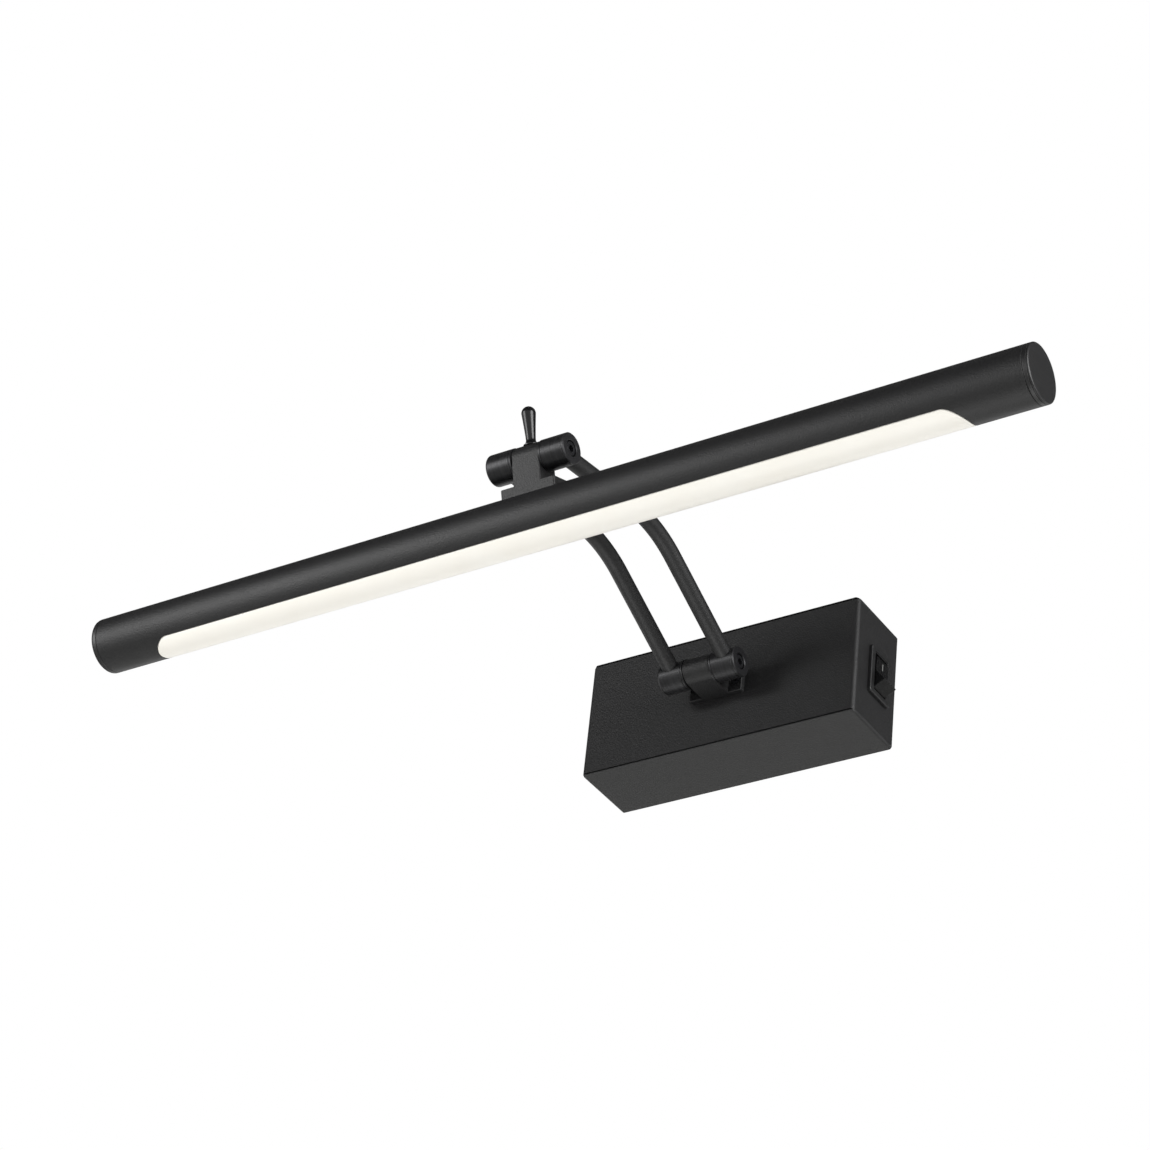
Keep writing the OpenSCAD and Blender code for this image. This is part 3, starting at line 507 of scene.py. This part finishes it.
# its own X is up, its Y is out of the box and its Z is towards the room
rocker_axes = Matrix(((0, 1, 0, 0), (0, 0, -1, 0), (1, 0, 0, 0), (0, 0, 0, 1)))
rocker = pad(rocker_side, -ROCKER_W / 2, ROCKER_W / 2, 0.3 * MM, 0.3 * MM)
rocker = to_mesh(rocker, "rocker", rocker_at @ rocker_axes)
show("rocker_cap", rocker, gloss_abs, "switch_rocker", ["rocker"])

print_white, tree, shader, place = finish("pad_printed_ink", "#6e6e6c", 0.55)
ink = add_node(tree, "ShaderNodeTexNoise", {"Vector": place, "Scale": 1 / (0.3 * MM), "Detail": 2.0})
vary(tree, shader, ink.outputs["Fac"], "#5e5e5c", "#7a7a78", 0.5, 0.65)
# the mark lies on the upper face, whose slope is the lip's height over the valley's
slope = math.atan2(4.22 - 2.9, 5.6 + 0.75)
mark_axes = Matrix.Translation((2.8 * MM, 3.64 * MM, 0)) @ Matrix.Rotation(slope, 4, "Z")
MARK_L, MARK_W = 3.0 * MM, 0.5 * MM
mark = pad(lambda i: rounded(MARK_L - 2 * i, MARK_W - 2 * i, 0.2 * MM), -0.1 * MM, 0.03 * MM, 0.01 * MM)
# the mark's own Z becomes the way out of the face
mark_turn = Matrix(((1, 0, 0, 0), (0, 0, 1, 0), (0, 1, 0, 0), (0, 0, 0, 1)))
mark = to_mesh(mark, "mark", rocker_at @ rocker_axes @ mark_axes @ mark_turn)
show("rocker_mark", mark, print_white, "switch_rocker", [])

# ---- Lower knuckle ------------------------------------------------------------------------------
# Machined block that is screwed to the cover's front: a flange with two countersunk screws, and a
# pillar with a round nose that the arms' bolt passes through. Powder coated like the cover.
KNUCKLE_H, NOSE_H = 12.3 * MM, 5.8 * MM
FLANGE_L, FLANGE_W, FLANGE_T = 23 * MM, 10.6 * MM, 2.3 * MM
# the pillar is 0.02 mm inside the flange on each side, so that the two join cleanly
PILLAR_W, PILLAR_T = 11.6 * MM, 10.56 * MM
PIVOT_HOLE_R, KNUCKLE_EDGE = 1.55 * MM, 0.35 * MM
LEAN = math.radians(19.3)
LOWER_PIVOT = Vector((0, -42.7, 0)) * MM
UPPER_PIVOT = Vector((0, -165.216, 17.2185)) * MM
AT_LOWER = Matrix.Translation(LOWER_PIVOT) @ TO_ROOM
AT_UPPER = Matrix.Translation(UPPER_PIVOT) @ Matrix.Rotation(LEAN, 4, "X")


def pillar_side(inset):
    """The pillar's side outline as (across, up), with its round nose."""
    r = PILLAR_T / 2 - inset
    points = [(r, -KNUCKLE_H)]
    for k in range(25):
        a = math.radians(180 * k / 24)
        points.append((r * math.cos(a), NOSE_H - PILLAR_T / 2 + r * math.sin(a)))
    return points + [(-r, -KNUCKLE_H)]


ALONG_X = Matrix(((0, 0, 1, 0), (1, 0, 0, 0), (0, 1, 0, 0), (0, 0, 0, 1)))


def knuckle(base_low, placing, *cuts):
    """A knuckle from its base's lowest height: base, pillar and all its holes."""
    base = pad(lambda i: rounded(FLANGE_L - 2 * i, FLANGE_W - 2 * i, 0.7 * MM - i),
               base_low, -KNUCKLE_H + FLANGE_T, KNUCKLE_EDGE)
    pillar = pad(pillar_side, -PILLAR_W / 2, PILLAR_W / 2, KNUCKLE_EDGE, KNUCKLE_EDGE)
    made = combine(to_mesh(base, "base"), "UNION", to_mesh(pillar, "pillar", ALONG_X))
    across = Matrix.Translation((-10 * MM, 0, 0)) @ Matrix.Rotation(math.pi / 2, 4, "Y")
    tools = [pin(PIVOT_HOLE_R, 20 * MM, across)]
    for side in (-1, 1):
        sink = [(0, -14), (1.45, -14), (1.45, -1.3), (2.325, 0), (2.5, 0.2), (2.5, 2), (0, 2)]
        seat = Matrix.Translation((side * FLANGE_SCREW_X, 0, -KNUCKLE_H + FLANGE_T))
        tools.append(turned([(r * MM, z * MM) for r, z in sink], 48, seat))
    made = combine(made, "DIFFERENCE", *tools, *cuts)
    made.transform(placing)
    return made


lower_block = knuckle(-KNUCKLE_H, AT_LOWER)
show("lower_block", lower_block, powder, "wall_unit", ["lower_knuckle"])
countersunk = [(1.25, -6), (1.25, -1.3), (2.1, -0.06), (2.1, 0), (1.0, 0)]
countersunk = socket_screw([(r * MM, z * MM) for r, z in countersunk], 1.7 * MM, 0.9 * MM)


def flange_screws(placing):
    """A knuckle's two countersunk screws, as one mesh."""
    first = placing @ Vector((-FLANGE_SCREW_X, 0, -KNUCKLE_H + FLANGE_T - 0.02 * MM))
    return in_a_row(countersunk.copy(), 2, first, (2 * FLANGE_SCREW_X, 0, 0), placing.to_euler(),
                    black_steel)


show("lower_screw_pair", flange_screws(AT_LOWER), black_steel, "wall_unit",
     ["lower_flange_screws"])

# ---- Collars, friction washers and pivot bolts --------------------------------------------------
# Turned aluminium collars clamp the pillar between thin washers. The left one is closed and holds
# the bolt's thread, and the right one takes its head. Black anodising keeps the lathe's fine rings.
COLLAR_R, COLLAR_L = 6 * MM, 10.2 * MM
WASHER_X, WASHER_T = 5.85 * MM, 0.9 * MM
COLLAR_X = WASHER_X + WASHER_T
COLLAR_END = COLLAR_X + COLLAR_L
ROD_X = COLLAR_X + COLLAR_L / 2
ROD_R = 3.25 * MM
RISE, BEND = math.radians(25), math.radians(34)

anodised, tree, shader, place = finish("turned_black_anodised_aluminium", "#1a1a1b", 0.34, 0.5)
# the tool's feed marks are 0.1 mm apart and are drawn about 0.5 mm apart to show
stretched = add_node(tree, "ShaderNodeMapping", {"Vector": place, "Scale": (1.0, 0.02, 0.02)})
feed = add_node(tree, "ShaderNodeTexNoise",
                {"Vector": stretched.outputs[0], "Scale": 1 / (0.5 * MM), "Detail": 2.0})
vary(tree, shader, feed.outputs["Fac"], "#0f0f10", "#333335", 0.28, 0.46)
relief(tree, shader, feed.outputs["Fac"], 0.05 * MM)


def rod_socket(aim):
    """The round pocket that a rod's end sits in; aim is its direction from straight up."""
    turn = Matrix.Rotation(aim, 4, "X")
    return [pin(ROD_R + 0.05 * MM, 8 * MM, Matrix.Translation((side * ROD_X, 0, 0)) @ turn
                @ Matrix.Translation((0, 0, 3.05 * MM))) for side in (-1, 1)]


def collar_set(name, pivot, aim):
    """Both collars, the two washers and the bolt of one pivot."""
    left_pocket, right_pocket = rod_socket(aim)
    rim_r, ease, groove = 1.2 * MM, 0.15 * MM, 0.12 * MM
    clear_r, recess_r = 1.7 * MM, 3.1 * MM
    rim = [(COLLAR_R - rim_r * (1 - math.cos(math.radians(a))),
            COLLAR_END - rim_r * (1 - math.sin(math.radians(a)))) for a in range(0, 91, 15)]
    closed = [(0, COLLAR_X), (COLLAR_R - ease, COLLAR_X), (COLLAR_R, COLLAR_X + ease)] + rim
    closed += [(0, COLLAR_END)]
    to_left = Matrix.Translation(pivot) @ Matrix.Rotation(-math.pi / 2, 4, "Y")
    to_right = Matrix.Translation(pivot) @ Matrix.Rotation(math.pi / 2, 4, "Y")
    left_pocket.transform(Matrix.Translation(pivot))
    right_pocket.transform(Matrix.Translation(pivot))
    bore = pin(1.52 * MM, COLLAR_L - 1 * MM, to_left @ Matrix.Translation((0, 0, COLLAR_X - 1 * MM)))
    mesh = combine(turned(closed, 96, to_left), "DIFFERENCE", bore, left_pocket)
    show(name + "_collar_closed", mesh, anodised, "arms", [name + "_collar_left"])
    sunk = COLLAR_END - 3.4 * MM
    open_end = [(clear_r, COLLAR_X), (COLLAR_R - ease, COLLAR_X), (COLLAR_R, COLLAR_X + ease),
                (COLLAR_R, COLLAR_END - 1.32 * MM), (COLLAR_R - groove, COLLAR_END - 1.24 * MM),
                (COLLAR_R - groove, COLLAR_END - 1.12 * MM), (COLLAR_R, COLLAR_END - 1.04 * MM),
                (COLLAR_R, COLLAR_END - 0.35 * MM), (COLLAR_R - 0.35 * MM, COLLAR_END),
                (3.4 * MM, COLLAR_END), (recess_r, COLLAR_END - 0.3 * MM), (recess_r, sunk),
                (clear_r, sunk), (clear_r, COLLAR_X)]
    mesh = combine(turned(open_end, 96, to_right), "DIFFERENCE", right_pocket)
    show(name + "_collar_open", mesh, anodised, "arms", [name + "_collar_right"])
    ring = [(1.7, 0.05), (5.9, 0.05), (6.0, 0.15), (6.0, 0.75), (5.9, 0.85), (1.7, 0.85), (1.7, 0.05)]
    ring = turned([(r * MM, WASHER_X + z * MM) for r, z in ring], 72, to_right)
    pair = in_a_row(ring, 2, (0, 0, 0), (-2 * WASHER_X - WASHER_T, 0, 0), (0, 0, 0), anodised)
    show(name + "_washer_pair", pair, anodised, "arms", [name + "_washers"])
    bolt_r, head_r, head_top = 1.5 * MM, 2.75 * MM, sunk + 3 * MM
    bolt = [(bolt_r, -COLLAR_END + 2.5 * MM), (bolt_r, sunk), (head_r, sunk),
            (head_r, head_top - 0.2 * MM), (head_r - 0.2 * MM, head_top), (1.6 * MM, head_top)]
    bolt = socket_screw(bolt, 2.9 * MM, 1.6 * MM)
    bolt.transform(to_right)
    show(name + "_bolt", bolt, black_steel, "arms", [name + "_pivot_bolt"])


collar_set("lower", LOWER_PIVOT, math.pi / 2 - RISE)
collar_set("upper", UPPER_PIVOT, BEND - RISE - math.pi / 2)

# ---- Arm rods -----------------------------------------------------------------------------------
# Two bent steel tubes side by side, pushed into the collars at both ends and powder coated. Each
# is straight at its ends with one even bend between, so both follow the same path.
LEG, BEND_R, ROD_START = 49.4 * MM, 50 * MM, 3.35 * MM


def rod_points():
    """The rods' path as (out, up) pairs: a straight leg, the bend and the other leg."""
    along = Vector((math.cos(RISE), math.sin(RISE)))
    centre = Vector((-LOWER_PIVOT.y, 0)) + along * LEG + Vector((math.sin(RISE), -math.cos(RISE))) * BEND_R
    points = [Vector((-LOWER_PIVOT.y, 0)) + along * ROD_START]
    for k in range(33):
        a = math.pi / 2 + RISE - BEND * k / 32
        points.append(centre + BEND_R * Vector((math.cos(a), math.sin(a))))
    end = Vector((math.cos(RISE - BEND), math.sin(RISE - BEND)))
    return points + [points[-1] + end * (LEG - ROD_START)]


# the tree that sweeps a round bar along a path, once at each side
sweep, given = new_tree("sweep", Radius="Float", Side="Vector", Material="Material")
curve = add_node(sweep, "GeometryNodeMeshToCurve", {"Mesh": given["Geometry"]})
circle = add_node(sweep, "GeometryNodeCurvePrimitiveCircle", {"Resolution": 48, "Radius": given["Radius"]})
bar = add_node(sweep, "GeometryNodeCurveToMesh",
               {"Curve": curve.outputs[0], "Profile Curve": circle.outputs["Curve"], "Fill Caps": True})
sides = add_node(sweep, "GeometryNodeMeshLine", {"Count": 2, "Offset": given["Side"]})
both = add_node(sweep, "GeometryNodeInstanceOnPoints",
                {"Points": sides.outputs["Mesh"], "Instance": bar.outputs["Mesh"]})
end_tree(sweep, both.outputs["Instances"], given["Material"])

path = bpy.data.meshes.new("path")
spots = [(-ROD_X, -out, up) for out, up in rod_points()]
path.from_pydata(spots, [(i, i + 1) for i in range(len(spots) - 1)], [])
rods = grown(path, sweep, Radius=ROD_R, Side=(2 * ROD_X, 0, 0), Material=powder)
show("arm_rods", rods, powder, "arms", ["arm_rod_left", "arm_rod_right"], 50)

# ---- Upper knuckle ------------------------------------------------------------------------------
# The same block as the lower one, but with a deep base whose saddle fits the lamp tube. Two screws
# go through the tube's wall into a bar inside it, and the nose is drilled for the lever's stud.
TUBE_R, TUBE_IN = 10.8 * MM, 9.6 * MM
HEAD_DROP = 23.2 * MM
AT_TUBE = AT_UPPER @ Matrix.Translation((0, 0, -HEAD_DROP))
ON_TUBE = Matrix.Translation((0, 0, -HEAD_DROP)) @ Matrix.Rotation(math.pi / 2, 4, "Y")
saddle = pin(TUBE_R + 0.01 * MM, 40 * MM, ON_TUBE @ Matrix.Translation((0, 0, -20 * MM)), 192)
SPOT_R, SPOT_DEPTH = 3.0 * MM, 0.5 * MM
stud_hole = pin(1.55 * MM, 8 * MM, Matrix.Translation((0, 0, 0)))
spot_face = pin(SPOT_R, 4 * MM, Matrix.Translation((0, 0, NOSE_H - SPOT_DEPTH)), 64)
block_mesh = knuckle(-HEAD_DROP + 1 * MM, AT_UPPER, saddle, stud_hole, spot_face)
show("upper_block", block_mesh, powder, "head", ["upper_knuckle"])
show("upper_screw_pair", flange_screws(AT_UPPER), black_steel, "head",
     ["upper_flange_screws"])

# ---- Lamp tube ----------------------------------------------------------------------------------
# Drawn aluminium tube with a long round-cornered slot milled along its underside for the light.
# Its edges are broken after milling, and the powder coat rounds them a little more.
TUBE_L = 393 * MM
SLOT_L, SLOT_W, SLOT_R = 344.4 * MM, 18.1 * MM, 8 * MM
ALONG_TUBE = AT_TUBE @ Matrix.Rotation(math.pi / 2, 4, "Y")


def pipe(outer, inner, length, edge, steps=192):
    """A hollow tube along the lamp's axis with broken ends."""
    h = length / 2
    side = [(inner, -h), (outer - edge, -h), (outer, -h + edge), (outer, h - edge), (outer - edge, h),
            (inner, h), (inner, -h)]
    return turned(side, steps, ALONG_TUBE)


def slot_cutter(grow, depth=22 * MM):
    """The slot's outline as a solid that points down from the tube's axis."""
    length, width, radius = SLOT_L + 2 * grow, SLOT_W + 2 * grow, SLOT_R + grow
    return to_mesh(pad(lambda i: rounded(length, width, radius, 20), -depth, 0, 0), "slot", AT_TUBE)


screw_paths = [pin(1.45 * MM, 20 * MM, AT_TUBE @ Matrix.Translation((side * FLANGE_SCREW_X, 0, 0)))
               for side in (-1, 1)]
tube = combine(pipe(TUBE_R, TUBE_IN, TUBE_L, 0.18 * MM), "DIFFERENCE", slot_cutter(0), *screw_paths)
tube = soften(tube, 0.22 * MM, 2, 50)
show("tube", tube, powder, "head", ["lamp_tube"], 30)

# ---- End caps -----------------------------------------------------------------------------------
# Moulded caps with a spigot that is pushed into the tube. A fine joint shows at the tube's end and
# a second line runs round the rim, before a face that is just domed.
# a cap's side as (radius, height over the tube's end) in mm: spigot, rim, line and domed face
cap = [(0, -8), (8, -8), (9.45, -7.9), (9.45, -0.01), (10.5, 0), (10.62, 0.06), (10.76, 0.2), (10.8, 0.35),
       (10.8, 1.45), (10.62, 1.56), (10.62, 1.74), (10.78, 1.84), (10.72, 2.05), (10.55, 2.24), (10.3, 2.36),
       (9.9, 2.42), (8, 2.45), (5, 2.48), (2.5, 2.495), (0, 2.5)]
for name, side in (("end_cap_left", -1), ("end_cap_right", 1)):
    out = Matrix.Rotation(side * math.pi / 2, 4, "Y") @ Matrix.Translation((0, 0, TUBE_L / 2))
    mesh = turned([(r * MM, z * MM) for r, z in cap], 128, AT_TUBE @ out)
    show(name + "_moulding", mesh, satin_abs, "head", [name], 35)

# ---- Diffuser -----------------------------------------------------------------------------------
# Opal acrylic strip that is slid in behind the slot: its crowned face stands in the slot flush
# with the tube, and a lip all round holds it. Opal acrylic spreads the light to an even soft white.
opal, tree, shader, place = finish("opal_acrylic", "#faf6ee", 0.38, 0.0, 1.49)
haze = add_node(tree, "ShaderNodeTexNoise", {"Vector": place, "Scale": 1 / (18 * MM), "Detail": 2.0})
vary(tree, shader, haze.outputs["Fac"], "#f8f4eb", "#fcfaf4", 0.34, 0.44)
LIP, LIP_W, LIP_R, IN_R = 3 * MM, 17.6 * MM, 9.45 * MM, 8.5 * MM
face = combine(pipe(TUBE_R - 0.02 * MM, IN_R, SLOT_L, 0.01 * MM), "INTERSECT", slot_cutter(-0.3 * MM))
face = soften(face, 0.15 * MM, 2, 50)
lip_block = pad(lambda i: rounded(SLOT_L + 2 * LIP, LIP_W, 0.5 * MM), -22 * MM, -1.5 * MM, 0)
lip_block = to_mesh(lip_block, "lip", AT_TUBE)
lip_strip = combine(pipe(LIP_R, IN_R, SLOT_L + 2 * LIP, 0.05 * MM), "INTERSECT", lip_block)
diffuser = combine(face, "UNION", lip_strip)
show("diffuser_strip", diffuser, opal, "head", ["diffuser"], 30)

# ---- Light source -------------------------------------------------------------------------------
# An extruded aluminium carrier spans the tube and takes the heat. A white board is screwed to it
# with a row of phosphor-covered LEDs, which face the diffuser.
mill, tree, shader, place = finish("mill_finish_aluminium", "#c4c4c6", 0.34, 1.0)
drawn = add_node(tree, "ShaderNodeMapping", {"Vector": place, "Scale": (0.02, 1.0, 1.0)})
# extrusion lines about 0.3 mm apart along the tube
lines = add_node(tree, "ShaderNodeTexNoise",
                 {"Vector": drawn.outputs[0], "Scale": 1 / (0.3 * MM), "Detail": 2.0})
vary(tree, shader, lines.outputs["Fac"], "#b2b2b5", "#d2d2d3", 0.26, 0.44)
dress(mill, "extruded_aluminium", "led_carrier")

mask, tree, shader, place = finish("white_solder_mask", "#efefec", 0.3)
ripple = add_node(tree, "ShaderNodeTexNoise", {"Vector": place, "Scale": 1 / (5 * MM), "Detail": 2.0})
vary(tree, shader, ripple.outputs["Fac"], "#eaeae6", "#f3f3f0", 0.25, 0.38)
dress(mask, "board_white", "led_board")

phosphor, tree, shader, place = finish("silicone_phosphor", "#f2dc86", 0.5)
grit = add_node(tree, "ShaderNodeTexNoise", {"Vector": place, "Scale": 1 / (0.2 * MM), "Detail": 2.0})
vary(tree, shader, grit.outputs["Fac"], "#ecd274", "#f7e69c", 0.42, 0.58)
LED_PITCH, LED_COUNT = 9.6 * MM, 35
LED_L, LED_W, LED_H = 3.5 * MM, 2.8 * MM, 0.75 * MM
led = pad(lambda i: rounded(LED_L - 2 * i, LED_W - 2 * i, 0.3 * MM, 2), -LED_H, 0, 0, 0.15 * MM, 2)
row = in_a_row(to_mesh(led, "led"), LED_COUNT,
               AT_TUBE @ Vector((-(LED_COUNT - 1) / 2 * LED_PITCH, 0, 1 * MM)), (LED_PITCH, 0, 0),
               AT_TUBE.to_euler(), phosphor)
show("led_row", row, phosphor, "head", ["leds"])

# ---- Clamp lever --------------------------------------------------------------------------------
# Moulded glossy handle on a steel stud. It is turned to press a pad on the bolt, which locks the
# head's tilt. A wide foot runs up in a hollow curve to a thin neck that swells to a round tip.
dress(black_steel, "blackened_steel", "lever_stud")
LEVER_SEAT, LEVER_H = 5.35 * MM, 15.3 * MM
TIP_R, NECK_R = 2.65 * MM, 1.8 * MM
FOOT_R, RIM_H, NECK_LOW = 2.9 * MM, 0.45 * MM, 2.4 * MM
outline = [(0, 0), (FOOT_R - 0.1 * MM, 0), (FOOT_R, 0.1 * MM), (FOOT_R, RIM_H)]
for k in range(1, 9):
    a = math.radians(90 * k / 8)
    outline.append((NECK_R + (FOOT_R - NECK_R) * (1 - math.sin(a)) ** 0.8,
                    RIM_H + 1.9 * MM * (1 - math.cos(a))))
tip_centre = LEVER_H - TIP_R
for k in range(1, 15):
    f = k / 15
    outline.append((NECK_R + (TIP_R - NECK_R) * f ** 1.2, NECK_LOW + (tip_centre - NECK_LOW) * f))
for k in range(17):
    a = math.radians(90 * k / 16)
    outline.append((TIP_R * math.cos(a), tip_centre + TIP_R * math.sin(a)))
outline[-1] = (0, LEVER_H)
lever = turned(outline, 64, AT_UPPER @ Matrix.Translation((0, 0, LEVER_SEAT)))
show("lever_moulding", lever, gloss_abs, "clamp_lever", ["lever_handle"], 40)

# ---- Floor --------------------------------------------------------------------------------------
# A plain pale floor of the room, far enough below the lamp for a lamp that hangs on a wall.
FLOOR_Z = -1.7


def plane(name, half_side, placing, paint):
    """A large plain square of the studio."""
    made = bmesh.new()
    bmesh.ops.create_grid(made, x_segments=2, y_segments=2, size=half_side)
    made.transform(placing)
    mesh = bpy.data.meshes.new(name)
    made.to_mesh(mesh)
    made.free()
    mesh.materials.append(paint)
    return put(name, mesh)


floor_paint, tree, shader, place = finish("pale_floor", "#ecece9", 0.8)
floor = plane("floor", 6, Matrix.Translation((0, 0, FLOOR_Z)), floor_paint)

# ---- Ceiling ------------------------------------------------------------------------------------
# The dark ceiling of the studio, which keeps the upper sides of the black parts deep. It isn't
# seen itself.
ceiling_paint, tree, shader, place = finish("dark_ceiling", "#545454", 0.9)
FACING_DOWN = Matrix.Rotation(math.pi, 4, "X")
ceiling = plane("ceiling", 3, Matrix.Translation((0, -0.3, 0.9)) @ FACING_DOWN, ceiling_paint)
ceiling.visible_camera = False

# ---- Camera -------------------------------------------------------------------------------------
# It looks up at the lamp from the front right, from below and a little turned about its own axis.
AZIMUTH, ELEVATION, ROLL = (math.radians(a) for a in (36.36, -34.35, 6.80))
DISTANCE, LENS = 1318.5 * MM, 104.93
TARGET = Vector((-51.8, -61.05, 47.98)) * MM
back = Vector((math.sin(AZIMUTH) * math.cos(ELEVATION), -math.cos(AZIMUTH) * math.cos(ELEVATION),
               math.sin(ELEVATION)))
level = (-back).cross(Vector((0, 0, 1))).normalized()
upright = level.cross(-back)
across = math.cos(ROLL) * level + math.sin(ROLL) * upright
up = math.cos(ROLL) * upright - math.sin(ROLL) * level
eye = bpy.data.cameras.new("camera")
eye.lens = LENS
eye.sensor_width = 36
eye.clip_start = 0.01
eye.clip_end = 50
camera = put("camera", eye)
facing = Matrix((across, up, back)).transposed().to_4x4()
camera.matrix_world = Matrix.Translation(TARGET + back * DISTANCE) @ facing
bpy.context.scene.camera = camera


# ---- Light --------------------------------------------------------------------------------------
# A small soft box near the front left, about level with the lamp, a larger one at the right and the
# largest below, in a bright even room. The room shows white behind the lamp and in its shine.
def soft_box(name, place, target, size, power):
    """A square area lamp that faces a target."""
    data = bpy.data.lights.new(name, "AREA")
    data.size = size
    data.energy = power
    lamp = put(name, data)
    aim = Vector(target) - Vector(place)
    lamp.matrix_world = Matrix.Translation(place) @ aim.to_track_quat("-Z", "Y").to_matrix().to_4x4()


soft_box("key", (-0.5, -0.76, 0.07), (-0.12, -0.12, 0), 0.35, 3.3)
soft_box("fill", (1.0, -0.3, 0.15), (0, -0.1, 0), 0.6, 12.0)
soft_box("below", (-0.1, 0.1, -1.3), (0, -0.1, 0), 0.9, 7.0)
world = bpy.data.worlds.new("room")
world.use_nodes = True
tree = world.node_tree
tree.nodes.clear()
ray = add_node(tree, "ShaderNodeLightPath").outputs
seen = ray["Is Camera Ray"]
for kind in ("Is Glossy Ray", "Is Transmission Ray"):
    seen = add_node(tree, "ShaderNodeMath", {0: seen, 1: ray[kind]}, operation="MAXIMUM").outputs[0]
even = add_node(tree, "ShaderNodeBackground", {"Color": linear("#ffffff"), "Strength": 1.0})
white = add_node(tree, "ShaderNodeBackground", {"Color": linear("#ffffff"), "Strength": 1.0})
either = add_node(tree, "ShaderNodeMixShader", {0: seen, 1: even.outputs[0], 2: white.outputs[0]})
add_node(tree, "ShaderNodeOutputWorld", {"Surface": either.outputs[0]})
bpy.context.scene.world = world
bpy.context.scene.view_settings.view_transform = "Standard"
